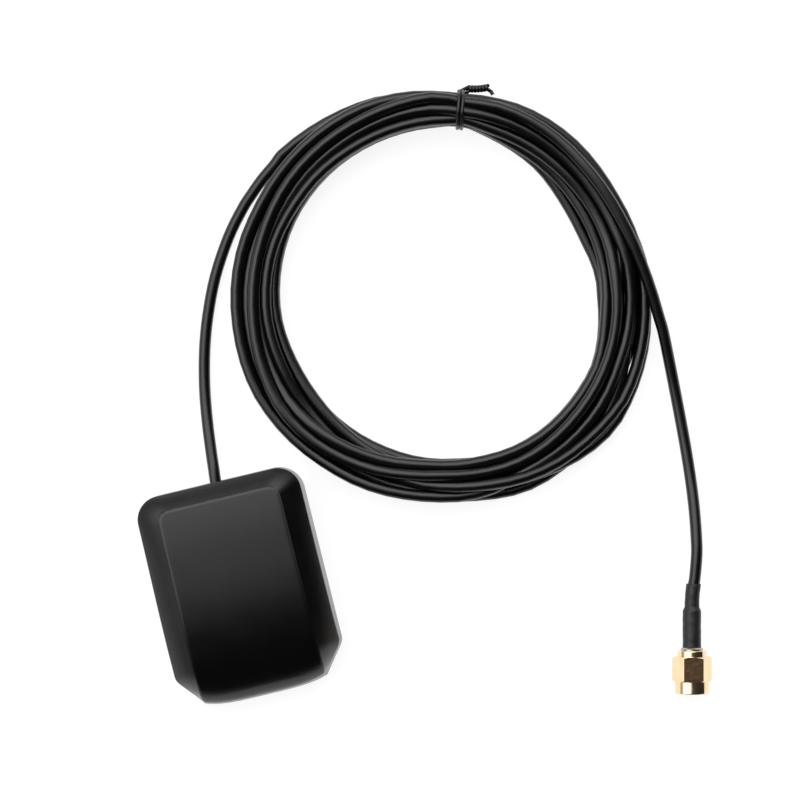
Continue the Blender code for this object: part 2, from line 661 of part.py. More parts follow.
def make_screws():
    """Countersunk cross-head screws through the base plate into the housing's bosses."""
    head = SCREW_HEAD_DIAMETER / 2
    shank = SCREW_SHANK_DIAMETER / 2
    sunk = SCREW_CLEARANCE
    tip = sunk + SCREW_LENGTH
    profile = [
        (0, tip), (SCREW_TIP_DIAMETER / 2, tip), (shank, tip - SCREW_TIP_LENGTH),
        (shank, sunk + head - shank), (head, sunk), (0, sunk),
    ]
    half_slot = SCREW_RECESS_SLOT / 2
    half_cross = SCREW_RECESS_WIDTH / 2
    mesh = profile_mesh("screw", profile)
    for number, (x, y) in enumerate(screw_places(), 1):
        screw = add_part(f"screw_{number}", mesh if number == 1 else mesh.copy(), SCREW_STEEL)
        screw.location = (x, y, 0)
        turn(screw, 16)
        for label, size_x, size_y in (("a", half_slot, half_cross), ("b", half_cross, half_slot)):
            slot = add_cutter(f"screw_slot_{number}{label}", box(
                f"screw_slot_{number}{label}", (x - size_x, y - size_y, -SCREW_RECESS_DEPTH),
                (x + size_x, y + size_y, sunk + SCREW_RECESS_DEPTH)))
            boolean(screw, slot)


def make_electronics():
    """Shield can, amplifier, filter, board, tape, ceramic patch and feed pin, from the bottom up."""
    build = bmesh.new()
    build.from_mesh(box("can_form", (*can_plan[0], can_bottom), (*can_plan[1], can_top)))
    open_side = [face for face in build.faces if face.normal.z > 0.5]
    bmesh.ops.delete(build, geom=open_side, context="FACES")
    can = add_part("shield_can", to_mesh("shield_can", build), TINNED_SHEET)
    sheet = can.modifiers.new("sheet", "SOLIDIFY")
    sheet.thickness = CAN_SHEET
    sheet.offset = -1
    sheet.use_even_offset = True

    amplifier_corner = (can_plan[0][0] + AMPLIFIER_INSET[0],
                        can_plan[1][1] - AMPLIFIER_INSET[1] - AMPLIFIER_SIZE[1])
    filter_corner = (can_plan[1][0] - FILTER_INSET[0] - FILTER_SIZE[0], can_plan[0][1] + FILTER_INSET[1])
    chip_top = board_bottom - SEAT_GAP
    for name, size, corner, material in (
            ("amplifier_chip", AMPLIFIER_SIZE, amplifier_corner, CHIP_EPOXY),
            ("saw_filter", FILTER_SIZE, filter_corner, FILTER_CERAMIC)):
        high = (corner[0] + size[0], corner[1] + size[1], chip_top)
        chip = add_part(name, box(name, (*corner, chip_top - size[2]), high), material)
        edge = chip.modifiers.new("edges", "BEVEL")
        edge.width = CHIP_EDGE
        edge.segments = 1

    feed_hole = add_cutter("feed_hole", cylinders(
        "feed_hole", [(0, feed_y)], FEED_PIN_DIAMETER / 2 + SCREW_CLEARANCE, 0, PUCK_HEIGHT, segments=16))
    board = add_part("circuit_board", box(
        "circuit_board", (*board_plan[0], board_bottom), (*board_plan[1], board_top)), BOARD_LAMINATE)
    boolean(board, feed_hole)
    tape_low = [edge + TAPE_MARGIN for edge in patch_plan[0]]
    tape_high = [edge - TAPE_MARGIN for edge in patch_plan[1]]
    tape = add_part("patch_tape", box(
        "patch_tape", (*tape_low, tape_bottom), (*tape_high, tape_bottom + TAPE_THICKNESS)), FOAM_TAPE)
    boolean(tape, feed_hole)

    # The patch: a ceramic block with broken corners and a printed electrode on top
    build = bmesh.new()
    build.from_mesh(box("patch_form", (*patch_plan[0], patch_bottom), (*patch_plan[1], patch_top)))
    upright = [edge for edge in build.edges if abs(edge.verts[0].co.z - edge.verts[1].co.z) > FIT]
    bmesh.ops.bevel(build, geom=upright, offset=PATCH_CHAMFER, segments=1, affect="EDGES")
    top = [face for face in build.faces if face.normal.z > 0.5]
    bmesh.ops.inset_region(build, faces=top, thickness=ELECTRODE_MARGIN)
    electrode = bmesh.ops.extrude_discrete_faces(build, faces=top)["faces"]
    bmesh.ops.translate(build, vec=(0, 0, ELECTRODE_THICKNESS), verts=electrode[0].verts)
    patch = add_part("patch_ceramic", to_mesh("patch_ceramic", build), PATCH_CERAMIC)
    boolean(patch, feed_hole)

    shank = FEED_PIN_DIAMETER / 2
    pin = turned_part("feed_pin", [
        (0, feed_head_top), (FEED_HEAD_FLAT_DIAMETER / 2, feed_head_top),
        (FEED_HEAD_DIAMETER / 2, feed_head_bottom), (shank, feed_head_bottom),
        (shank, board_bottom - FEED_PIN_TAIL), (0, board_bottom - FEED_PIN_TAIL),
    ], PIN_SOLDER, 16)
    pin.location = (0, feed_y, 0)


def lay_along_exit(part):
    """Turn a part made along +Z so that its axis runs out of the cable exit, with z = 0 at y = 0."""
    part.location = (0, 0, EXIT_HEIGHT)
    part.rotation_euler = (-pi / 2, 0, 0)


def make_cable_exit():
    """Rubber grommet in the wall, the stripped inner end of the lead, and the ring clamped on it."""
    bore = lead_radius + FIT
    flange = GROMMET_FLANGE_DIAMETER / 2
    lay_along_exit(turned_part("cable_grommet", [
        (bore, exit_y), (grommet_radius, exit_y), (grommet_radius, flange_y), (flange, flange_y),
        (flange, flange_y - GROMMET_FLANGE), (bore, flange_y - GROMMET_FLANGE),
    ], GROMMET_RUBBER))
    ring = bore + CLAMP_RING_WALL
    lay_along_exit(turned_part("clamp_ring", [
        (bore, clamp_ring_y), (ring, clamp_ring_y), (ring, clamp_ring_y - CLAMP_RING_LENGTH),
        (bore, clamp_ring_y - CLAMP_RING_LENGTH),
    ], TINNED_SHEET))
    jacket_end = board_plan[1][1] + BOARD_JACKET_GAP
    braid_end = jacket_end - BRAID_TAIL
    dielectric_end = braid_end - DIELECTRIC_TAIL
    dielectric = DIELECTRIC_DIAMETER / 2
    braid = dielectric + BRAID_THICKNESS
    conductor = CONDUCTOR_DIAMETER / 2
    lay_along_exit(turned_part("inner_lead", [
        (0, exit_y), (lead_radius, exit_y), (lead_radius, jacket_end), (braid, jacket_end),
        (braid, braid_end), (dielectric, braid_end), (dielectric, dielectric_end),
        (conductor, dielectric_end), (conductor, dielectric_end - CONDUCTOR_TAIL),
        (0, dielectric_end - CONDUCTOR_TAIL),
    ], JACKET_PVC, 16))


tie_radius = TIE_WIRE_DIAMETER / 2
groove_width = COIL_BUNDLE_WIDTH / 2 - TIE_SIDE_SQUEEZE
groove_height = COIL_BUNDLE_HEIGHT / 2 - TIE_TOP_SQUEEZE
tie_middle = FLOOR_CLEARANCE + TIE_WIRE_DIAMETER + CORD_GAP + groove_height


def tie_frame():
    """Matrix at the middle of the tie: X outwards from the coil, Y up, Z along the bundle, clockwise."""
    outward = Vector((cos(TIE_ANGLE), sin(TIE_ANGLE), 0))
    up = Vector((0, 0, 1))
    along = outward.cross(up)
    place = Vector((*COIL_CENTRE, tie_middle)) + COIL_RADIUS * outward
    return Matrix.Translation(place) @ Matrix((outward, up, along)).transposed().to_4x4()


def make_coil():
    """Outer form of the coiled lead: an oval bundle turned into a ring, drawn in under the tie."""
    steps = [-2 * pi * i / BUNDLE_STEPS for i in range(BUNDLE_STEPS)]
    profile = [(COIL_RADIUS + COIL_BUNDLE_WIDTH / 2 * cos(a), COIL_BUNDLE_HEIGHT / 2 * sin(a)) for a in steps]
    coil = turned_part("cord_coil", profile, JACKET_PVC, COIL_STEPS)
    coil.location = (*COIL_CENTRE, COIL_BUNDLE_HEIGHT / 2)

    # The groove's cutter is turned at unit radius, then stretched to the oval that the tie leaves
    half_groove = (TIE_TURNS * TIE_PITCH + TIE_WIRE_DIAMETER) / 2 + CORD_GAP
    reach = COIL_BUNDLE_WIDTH / groove_width
    build = bmesh.new()
    build.from_mesh(profile_mesh("tie_groove", [
        (1, half_groove), (reach, half_groove), (reach, -half_groove), (1, -half_groove)]))
    bmesh.ops.spin(build, geom=build.verts[:] + build.edges[:], axis=(0, 0, 1), cent=(0, 0, 0),
                   angle=2 * pi, steps=SMALL_SEGMENTS, use_duplicate=False)
    bmesh.ops.remove_doubles(build, verts=build.verts, dist=1e-6)
    bmesh.ops.scale(build, vec=(groove_width, groove_height, 1), verts=build.verts)
    bmesh.ops.recalc_face_normals(build, faces=build.faces)
    groove = add_cutter("tie_groove", to_mesh("tie_groove", build))
    groove.matrix_world = tie_frame()
    boolean(coil, groove)


def make_twist_tie():
    """Wire tie: two turns round the bundle, its ends twisted together along the coil's outer side."""
    reach_x = groove_width + CORD_GAP + tie_radius
    reach_y = groove_height + CORD_GAP + tie_radius
    spread = TIE_TURNS * TIE_PITCH / 2
    loops = []
    for i in range(TIE_TURNS * TIE_STEPS + 1):
        angle = 2 * pi * i / TIE_STEPS
        loops.append((reach_x * cos(angle), reach_y * sin(angle), TIE_PITCH * i / TIE_STEPS - spread))
    twist_radius = tie_radius + FIT
    tail_x = COIL_BUNDLE_WIDTH / 2 + CORD_GAP + twist_radius + tie_radius
    tail_start = spread + TIE_TAIL_START
    tail_steps = TIE_TAIL_TURNS * TIE_TAIL_STEPS
    ends = []
    for phase in (pi / 2, -pi / 2):
        strand = []
        for i in range(tail_steps + 1):
            angle = phase + 2 * pi * i / TIE_TAIL_STEPS
            strand.append((tail_x + twist_radius * cos(angle), twist_radius * sin(angle),
                           tail_start + TIE_TAIL_LENGTH * i / tail_steps))
        ends.append(strand)
    over_loops = (tail_x - twist_radius, 2 * tie_radius, spread - TIE_PITCH / 2)
    off_loops = (tail_x - twist_radius, -tie_radius, spread + tie_radius)
    route = ends[0][::-1] + [over_loops] + loops + [off_loops] + ends[1]
    tube("twist_tie", [tie_frame() @ Vector(p) for p in route], TIE_WIRE_DIAMETER, TIE_PVC, resolution=1)


def make_leads():
    """The two lengths of lead that lie uncoiled, as plain tubes."""
    spacing = LEAD_POINT_SPACING * LEAD_DIAMETER
    start = (0, exit_y + CORD_GAP, EXIT_HEIGHT)
    tube("puck_lead", smooth_route((start, *PUCK_LEAD_ROUTE), spacing), LEAD_DIAMETER, JACKET_PVC)
    plug_end = plug_frame() @ Vector((0, 0, -(shrink_rear + CORD_GAP)))
    before_end = plug_frame() @ Vector((0, 0, -(shrink_rear + CORD_GAP + lead_radius)))
    route = (*PLUG_LEAD_ROUTE, before_end, plug_end)
    tube("connector_lead", smooth_route(route, spacing), LEAD_DIAMETER, JACKET_PVC)


# Places along the plug's axis, counted back from the nut's open end
nut_corner_radius = NUT_ACROSS_FLATS / sqrt(3)
plug_height = nut_corner_radius + FLOOR_CLEARANCE
nut_length = FRONT_COLLAR_LENGTH + HEX_LENGTH + REAR_COLLAR_LENGTH
nut_shoulder = THREAD_DEPTH + RELIEF_LENGTH
flange_rear = nut_shoulder - NUT_PLAY
flange_front = flange_rear - FLANGE_THICKNESS
sleeve_front = flange_front - SLEEVE_LENGTH
ring_middle = (nut_shoulder + nut_length) / 2
neck_rear = nut_length + NECK_OVERHANG
shoulder_rear = neck_rear + SHOULDER_THICKNESS
stem_rear = shoulder_rear + STEM_LENGTH
stem_bore_front = shoulder_rear - SHOULDER_THICKNESS * 2
ferrule_front = shoulder_rear + SEAT_GAP
ferrule_rear = ferrule_front + FERRULE_LENGTH
shrink_step = ferrule_rear + SEAT_GAP + SHRINK_WALL
shrink_rear = shrink_step + SHRINK_STEP_LENGTH + SHRINK_TAIL_LENGTH

# Radii of the plug, from its axis out
pin_radius = PIN_DIAMETER / 2
insulator_radius = INSULATOR_DIAMETER / 2
sleeve_bore = insulator_radius + FIT
sleeve_radius = sleeve_bore + SLEEVE_WALL
thread_radius = THREAD_DIAMETER / 2
flange_radius = thread_radius - FLANGE_CLEARANCE
neck_radius = NECK_DIAMETER / 2
nut_bore = neck_radius + FIT
stem_bore = DIELECTRIC_DIAMETER / 2 + FIT
stem_radius = stem_bore + STEM_WALL
braid_bore = stem_radius + FIT
braid_radius = braid_bore + BRAID_THICKNESS
ferrule_bore = max(braid_radius, lead_radius) + FIT
ferrule_radius = ferrule_bore + FERRULE_WALL
shrink_bore = ferrule_radius + FIT
shrink_radius = shrink_bore + SHRINK_WALL
shrink_tail_bore = lead_radius + FIT
shrink_tail_radius = shrink_tail_bore + SHRINK_TAIL_WALL


def plug_frame():
    """Matrix of the plug: its Z axis points out of the nut's open end, and its Y axis points up."""
    outward = Vector((*PLUG_DIRECTION, 0)).normalized()
    up = Vector((0, 0, 1))
    side = up.cross(outward)
    place = Matrix.Translation((*PLUG_FACE, plug_height))
    return place @ Matrix((side, up, outward)).transposed().to_4x4()


def make_plug():
    """Threaded coaxial plug, crimped on the lead: every piece is turned on the plug's axis."""
    axis = bpy.data.objects.new("plug_axis", None)
    PARTS.objects.link(axis)
    axis.matrix_world = plug_frame()

    def plug_part(name, profile, material, segments=SMALL_SEGMENTS):
        """Piece turned on the plug's axis, from (radius, distance behind the open end) points."""
        part = turned_part(name, [(radius, -back) for radius, back in profile], material, segments)
        part.parent = axis
        return part

    # Coupling nut: a turned blank brought to a hexagon, with collars in front and behind
    collar = COLLAR_DIAMETER / 2
    rear_collar = REAR_COLLAR_DIAMETER / 2
    half_flats = NUT_ACROSS_FLATS / 2
    hex_front = FRONT_COLLAR_LENGTH
    hex_rear = FRONT_COLLAR_LENGTH + HEX_LENGTH
    relief = thread_radius + RELIEF_DEPTH
    groove = nut_bore + RING_GROOVE_IN_NUT
    half_groove = RING_THICKNESS / 2 + 2 * FIT
    nut = plug_part("coupling_nut", [
        (thread_radius + THREAD_ENTRY, 0), (collar - COLLAR_CHAMFER, 0), (collar, COLLAR_CHAMFER),
        (collar, hex_front), (half_flats, hex_front), (nut_corner_radius, hex_front + HEX_CHAMFER),
        (nut_corner_radius, hex_rear - HEX_CHAMFER), (half_flats, hex_rear), (rear_collar, hex_rear),
        (rear_collar, nut_length - COLLAR_CHAMFER), (rear_collar - COLLAR_CHAMFER, nut_length),
        (nut_bore, nut_length), (nut_bore, ring_middle + half_groove), (groove, ring_middle + half_groove),
        (groove, ring_middle - half_groove), (nut_bore, ring_middle - half_groove),
        (nut_bore, nut_shoulder), (relief, nut_shoulder), (relief, THREAD_DEPTH),
        (thread_radius, THREAD_DEPTH), (thread_radius, THREAD_ENTRY),
    ], GOLD_PLATE, FINE_SEGMENTS)
    build = bmesh.new()
    bmesh.ops.create_cone(build, cap_ends=True, segments=6, radius1=nut_corner_radius,
                          radius2=nut_corner_radius, depth=2 * nut_length)
    hexagon = add_cutter("nut_hexagon", to_mesh("nut_hexagon", build))
    hexagon.parent = axis
    hexagon.rotation_euler = (0, 0, NUT_TURN)
    hexagon.location = (0, 0, -nut_length / 2)
    boolean(nut, hexagon, "INTERSECT")

    # Body: sleeve and flange in front, a grooved neck in the nut, and the crimp stem behind
    ring_groove = neck_radius - RING_GROOVE_DEPTH
    half_ring_groove = RING_THICKNESS / 2 + FIT
    shoulder = SHOULDER_DIAMETER / 2
    plug_part("connector_body", [
        (sleeve_bore, sleeve_front), (sleeve_radius, sleeve_front), (sleeve_radius, flange_front),
        (flange_radius, flange_front), (flange_radius, flange_rear), (neck_radius, flange_rear),
        (neck_radius, ring_middle - half_ring_groove), (ring_groove, ring_middle - half_ring_groove),
        (ring_groove, ring_middle + half_ring_groove), (neck_radius, ring_middle + half_ring_groove),
        (neck_radius, neck_rear), (shoulder, neck_rear), (shoulder, shoulder_rear),
        (stem_radius, shoulder_rear), (stem_radius, stem_rear), (stem_bore, stem_rear),
        (stem_bore, stem_bore_front), (sleeve_bore, stem_bore_front),
    ], NICKEL_PLATE)

    # Open spring ring that holds the nut on the neck
    ring_inner = ring_groove + FIT
    ring_outer = groove - FIT
    half_ring = RING_THICKNESS / 2
    snap_ring = plug_part("snap_ring", [
        (ring_inner, ring_middle - half_ring), (ring_outer, ring_middle - half_ring),
        (ring_outer, ring_middle + half_ring), (ring_inner, ring_middle + half_ring),
    ], RING_BRONZE)
    mouth = add_cutter("snap_ring_mouth", box(
        "snap_ring_mouth", (0, -RING_MOUTH / 2, -ring_middle - RING_THICKNESS),
        (2 * ring_outer, RING_MOUTH / 2, -ring_middle + RING_THICKNESS)))
    mouth.parent = axis
    boolean(snap_ring, mouth)

    # Insulator and centre pin
    insulator_front = sleeve_front + INSULATOR_RECESS
    insulator_rear = stem_bore_front - FIT
    plug_part("connector_insulator", [
        (pin_radius + FIT, insulator_front), (insulator_radius, insulator_front),
        (insulator_radius, insulator_rear), (pin_radius + FIT, insulator_rear),
    ], INSULATOR_PTFE)
    conductor = CONDUCTOR_DIAMETER / 2
    pin_front = sleeve_front - PIN_REACH
    pin_rear = insulator_rear
    pin_bore = conductor + FIT / 2
    plug_part("centre_pin", [
        (0, pin_front), (PIN_TIP_DIAMETER / 2, pin_front), (pin_radius, pin_front + PIN_TAPER),
        (pin_radius, pin_rear), (pin_bore, pin_rear), (pin_bore, pin_rear - PIN_BORE_DEPTH),
        (0, pin_rear - PIN_BORE_DEPTH),
    ], GOLD_PLATE, 16)
    gasket_bore = sleeve_radius + FIT
    gasket_front = flange_front - FIT - FACE_GASKET_LENGTH
    plug_part("face_gasket", [
        (gasket_bore, gasket_front), (gasket_bore + FACE_GASKET_WALL, gasket_front),
        (gasket_bore + FACE_GASKET_WALL, flange_front - FIT), (gasket_bore, flange_front - FIT),
    ], SILICONE)

    # End of the lead: conductor, dielectric, braid folded over the stem, jacket
    dielectric = DIELECTRIC_DIAMETER / 2
    dielectric_front = stem_bore_front + FIT
    braid_front = shoulder_rear + SEAT_GAP
    slot_rear = stem_rear + SEAT_GAP
    jacket_front = slot_rear + SEAT_GAP
    plug_part("stripped_end", [
        (0, pin_rear - PIN_BORE_DEPTH + FIT), (conductor, pin_rear - PIN_BORE_DEPTH + FIT),
        (conductor, dielectric_front), (dielectric, dielectric_front), (dielectric, slot_rear),
        (braid_bore, slot_rear), (braid_bore, braid_front), (braid_radius, braid_front),
        (braid_radius, jacket_front), (lead_radius, jacket_front), (lead_radius, shrink_rear),
        (0, shrink_rear),
    ], JACKET_PVC, 16)
    plug_part("crimp_ferrule", [
        (ferrule_bore, ferrule_front), (ferrule_radius, ferrule_front),
        (ferrule_radius, ferrule_rear), (ferrule_bore, ferrule_rear),
    ], NICKEL_PLATE)
    plug_part("heat_shrink", [
        (shrink_bore, ferrule_front), (shrink_radius, ferrule_front), (shrink_radius, shrink_step),
        (shrink_tail_radius, shrink_step + SHRINK_STEP_LENGTH), (shrink_tail_radius, shrink_rear),
        (shrink_tail_bore, shrink_rear), (shrink_tail_bore, shrink_step + SHRINK_STEP_LENGTH),
        (shrink_bore, shrink_step - SHRINK_WALL),
    ], SHRINK_POLYOLEFIN)


make_housing()
make_base()
make_magnet()
make_gasket()
make_screws()
make_electronics()
make_cable_exit()
make_coil()
make_twist_tie()
make_plug()
make_leads()
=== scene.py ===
"""Looks of the positioning antenna: a moulded puck, its coiled coaxial lead and a gold-plated plug.

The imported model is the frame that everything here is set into. Lengths are in metres.
"""

import json
from math import cos, hypot, pi, radians, sin, sqrt

import bmesh
import bpy
import numpy as np
from mathutils import Matrix, Vector


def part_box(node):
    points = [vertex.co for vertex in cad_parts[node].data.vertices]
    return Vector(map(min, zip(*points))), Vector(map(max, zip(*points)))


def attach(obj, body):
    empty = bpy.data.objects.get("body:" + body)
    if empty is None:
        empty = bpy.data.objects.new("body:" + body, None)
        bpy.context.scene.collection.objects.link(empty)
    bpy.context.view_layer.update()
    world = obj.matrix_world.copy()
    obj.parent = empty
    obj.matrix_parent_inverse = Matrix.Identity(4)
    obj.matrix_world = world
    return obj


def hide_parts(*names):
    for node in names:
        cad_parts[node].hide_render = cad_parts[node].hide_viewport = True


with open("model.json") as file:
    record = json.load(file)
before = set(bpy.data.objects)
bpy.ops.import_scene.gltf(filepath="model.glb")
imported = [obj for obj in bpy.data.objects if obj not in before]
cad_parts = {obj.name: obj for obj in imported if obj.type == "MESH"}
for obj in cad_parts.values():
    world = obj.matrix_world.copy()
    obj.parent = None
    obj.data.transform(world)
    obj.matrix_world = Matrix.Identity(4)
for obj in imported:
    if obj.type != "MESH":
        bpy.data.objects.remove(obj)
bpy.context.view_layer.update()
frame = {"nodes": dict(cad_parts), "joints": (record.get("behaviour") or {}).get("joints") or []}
scene = bpy.context.scene

# Stage: a white table in a soft room, seen from straight above
# The camera stands over the middle of the photographed area, turned so that the puck leans to the left
CAMERA_OVER = (0.04586, 0.03387)
CAMERA_HEIGHT = 0.720
CAMERA_ROLL = radians(-13.5)
VIEW_WIDTH = 0.18605            # what the frame takes in at the table
SENSOR_WIDTH = 36.0             # millimetres, as the lens is
FLOOR_SIDE = 6.0
FLOOR_GAP = 0.00005             # keeps the table's face clear of the faces that lie on it
PAPER_GLOW = 0.88               # what the paper adds to its own shade where the camera sees it

scene.view_settings.view_transform = "Standard"
camera_data = bpy.data.cameras.new("camera")
camera_data.sensor_width = SENSOR_WIDTH
camera_data.lens = SENSOR_WIDTH * CAMERA_HEIGHT / VIEW_WIDTH
camera_data.clip_start = 0.01
camera = bpy.data.objects.new("camera", camera_data)
camera.location = (*CAMERA_OVER, CAMERA_HEIGHT)
camera.rotation_euler = (0, 0, CAMERA_ROLL)
scene.collection.objects.link(camera)
scene.camera = camera


def linear(hex_colour):
    """An sRGB hex value as a linear colour."""
    channels = [int(hex_colour[i:i + 2], 16) / 255 for i in (1, 3, 5)]
    return (*[c / 12.92 if c <= 0.04045 else ((c + 0.055) / 1.055) ** 2.4 for c in channels], 1.0)


def add_node(tree, kind, inputs=None, **settings):
    """Add a node with its settings; its inputs are set, or linked to a socket or to another node's output.

    A shader node's kind is given without the word ShaderNode.
    """
    node = tree.nodes.new(kind if "Node" in kind else f"ShaderNode{kind}")
    for name, value in settings.items():
        setattr(node, name, value)
    for key, value in (inputs or {}).items():
        if isinstance(value, bpy.types.Node):
            value = next(socket for socket in value.outputs if socket.enabled)
        if isinstance(value, bpy.types.NodeSocket):
            tree.links.new(value, node.inputs[key])
        else:
            node.inputs[key].default_value = value
    return node


def empty_tree(owner):
    """Node tree of a material or a world, with nothing in it yet."""
    owner.use_nodes = True
    owner.node_tree.nodes.clear()
    return owner.node_tree


def new_material(name):
    """Material, its tree, and the object's own coordinates, in metres, for its patterns."""
    material = bpy.data.materials.new(name)
    tree = empty_tree(material)
    return material, tree, add_node(tree, "TexCoord").outputs["Object"]


def along_axis(tree, place, frame_matrix):
    """Coordinates in a frame whose Z is the axis of a round piece."""
    return add_node(tree, "Mapping", {"Vector": place, "Location": frame_matrix.to_translation(),
                                      "Rotation": frame_matrix.to_euler()}, vector_type="TEXTURE")


def finished(material, tone, gloss, relief, **look):
    """The material, shown by one shader whose tone, gloss and relief follow patterns.

    Tone is a node, or a pattern and two colours; gloss is a roughness, or a pattern, its span and two
    roughnesses; relief is a pattern, its strength and its depth. Look holds the shader's other inputs.
    """
    tree = material.node_tree
    if isinstance(tone, tuple):
        pattern, low, high = tone
        tone = add_node(tree, "Mix", {"Factor": pattern, "A": linear(low), "B": linear(high)}, data_type="RGBA")
    if isinstance(gloss, tuple):
        pattern, (start, stop), (low, high) = gloss
        gloss = add_node(tree, "MapRange", {"Value": pattern, "From Min": start, "From Max": stop,
                                            "To Min": low, "To Max": high})
    pattern, strength, depth = relief
    bump = add_node(tree, "Bump", {"Height": pattern, "Strength": strength, "Distance": depth})
    shader = add_node(tree, "BsdfPrincipled", {"Base Color": tone, "Roughness": gloss, "Normal": bump, **look})
    add_node(tree, "OutputMaterial", {"Surface": shader})
    return material


def outfit(piece, material, body="antenna"):
    """Give a piece its material and its body."""
    piece.data.materials.clear()
    piece.data.materials.append(material)
    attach(piece, body)
    return piece


def paper_white():
    """Matt white paper: a pale diffuse sheet that the camera sees a little lifted, as a light table is."""
    material = bpy.data.materials.new("paper_white")
    tree = empty_tree(material)
    seen = add_node(tree, "LightPath").outputs
    direct = seen["Is Camera Ray"]
    for ray in ("Is Glossy Ray", "Is Transmission Ray"):
        direct = add_node(tree, "Math", {0: direct, 1: seen[ray]}, operation="MAXIMUM")
    paper, lifted = [add_node(tree, "BsdfDiffuse", {"Color": linear(colour)}) for colour in ("#f4f4f4", "#7c7c7c")]
    glow = add_node(tree, "Emission", {"Color": linear("#ffffff"), "Strength": PAPER_GLOW})
    both = add_node(tree, "AddShader", {0: lifted, 1: glow})
    mixed = add_node(tree, "MixShader", {0: direct, 1: paper, 2: both})
    add_node(tree, "OutputMaterial", {"Surface": mixed})
    return material


floor_mesh = bpy.data.meshes.new("table")
build = bmesh.new()
bmesh.ops.create_grid(build, x_segments=1, y_segments=1, size=FLOOR_SIDE / 2)
build.to_mesh(floor_mesh)
build.free()
floor_mesh.materials.append(paper_white())
floor = bpy.data.objects.new("table", floor_mesh)
floor.location.z = -FLOOR_GAP
scene.collection.objects.link(floor)


# The room: one broad bright side, over a darker horizon; it is dim overhead and dark on the other side
# Each pair is where one part gives way to the next, as how far a ray points to the bright side, or up
ROOM_LIT = (2.8, 2.8, 2.8, 1)
ROOM_DIM = (0.070, 0.049, 0.042, 1)
ROOM_DARK = (0.03, 0.03, 0.03, 1)
ROOM_BELOW = (0.7, 0.7, 0.7, 1)
LIT_SIDE = (-0.09, 0.26)
LIT_HEIGHT = (0.22, 0.75)
LIT_AT_HORIZON = 0.14           # share of the light that is left at the horizon
DIM_SIDE = (-0.55, -0.15)


def room(name, towards):
    """World that is bright towards one direction."""
    world = bpy.data.worlds.new(name)
    tree = empty_tree(world)
    ray = add_node(tree, "TexCoord").outputs["Generated"]
    side = add_node(tree, "VectorMath", {0: ray, 1: towards}, operation="DOT_PRODUCT")
    height = add_node(tree, "SeparateXYZ", {0: ray}).outputs["Z"]
    turn, climb, near = [
        add_node(tree, "MapRange", {"Value": value, "From Min": start, "From Max": stop, "To Min": low},
                 interpolation_type="SMOOTHSTEP")
        for value, (start, stop), low in ((side, LIT_SIDE, 0), (height, LIT_HEIGHT, LIT_AT_HORIZON),
                                          (side, DIM_SIDE, 0))]
    share = add_node(tree, "Math", {0: turn, 1: climb}, operation="MULTIPLY")
    above = add_node(tree, "Math", {0: height, 1: 0.0}, operation="GREATER_THAN")
    shade = add_node(tree, "Mix", {"Factor": near, "A": ROOM_DARK, "B": ROOM_DIM}, data_type="RGBA")
    glow = add_node(tree, "Mix", {"Factor": share, "A": shade, "B": ROOM_LIT}, data_type="RGBA")
    whole = add_node(tree, "Mix", {"Factor": above, "A": ROOM_BELOW, "B": glow}, data_type="RGBA")
    light = add_node(tree, "Background", {"Color": whole})
    add_node(tree, "OutputWorld", {"Surface": light})
    return world


# The photograph's light comes from a large bright side beyond the object and to its left
view_right = Vector((cos(CAMERA_ROLL), sin(CAMERA_ROLL), 0))
view_up = Vector((-sin(CAMERA_ROLL), cos(CAMERA_ROLL), 0))
scene.world = room("soft_room", view_up - 0.7 * view_right)


# The lead: three metres of thin black coaxial cable, extruded PVC over a braid
# It lies wound in ten loose turns. Each turn starts in a lane of its own, and all of them then settle
# under their weight: strands push one another apart, rest on the table and are drawn in by the tie
LEAD_DIAMETER = 0.0027
LEAD_SIDES = 20
COIL_CENTRE = (0.0615, 0.0555)
COIL_TURNS = 10
TURN_SAMPLES = 72
COIL_START = radians(125.9)     # where the lead from the puck joins the coil, from +X
COIL_END = radians(-19.7)       # where the lead to the plug leaves it
JOIN_RADIUS = 0.0495
LEAVE_RADIUS = 0.0499
LEAVE_HEIGHT = 0.0050
TIE_ANGLE = radians(71.2)
TIE_HALF_WIDTH = 0.0039         # inside of the tie's loops
TIE_HALF_HEIGHT = 0.0049
TIE_BITE = 0.0001               # how far the tie's wire sinks into the soft jackets
TIE_WIRE_DIAMETER = 0.0009

# How the coil settles: in every pass each strand sinks, gives way to its neighbours and is drawn smooth
SETTLE_PASSES = 500
SETTLE_SINK = 0.00003
SETTLE_PUSH = 0.48              # share of an overlap that each of two strands gives way by
SETTLE_SMOOTH = (0.02, 0.25)    # at the last pass, and how much more there is at the first
STRAND_SPACING = 0.985          # between two strands' axes, in diameters
PRESSED_SPACING = 0.89          # the same where the tie presses them together
LAYER_HEIGHT = 0.9              # between two layers at the start, in diameters
LANE_DRIFT = 0.10               # how far a turn wanders from its lane, as a share of the bundle's width
JOIN_ARC = radians(35)          # over which the lead from the puck joins the bundle, and from which radius
JOIN_LANE = 0.0470
LEAVE_ARC = radians(55)         # over which the lead to the plug leaves it, from which radius and how high
LEAVE_LANE = 0.0433
LEAVE_CROSSING = 0.0088
HELD_ARC = radians(3.0)         # to each side of the tie: where its loops hold the strands, and where
PRESSED_ARC = radians(8.0)      # these are pressed together

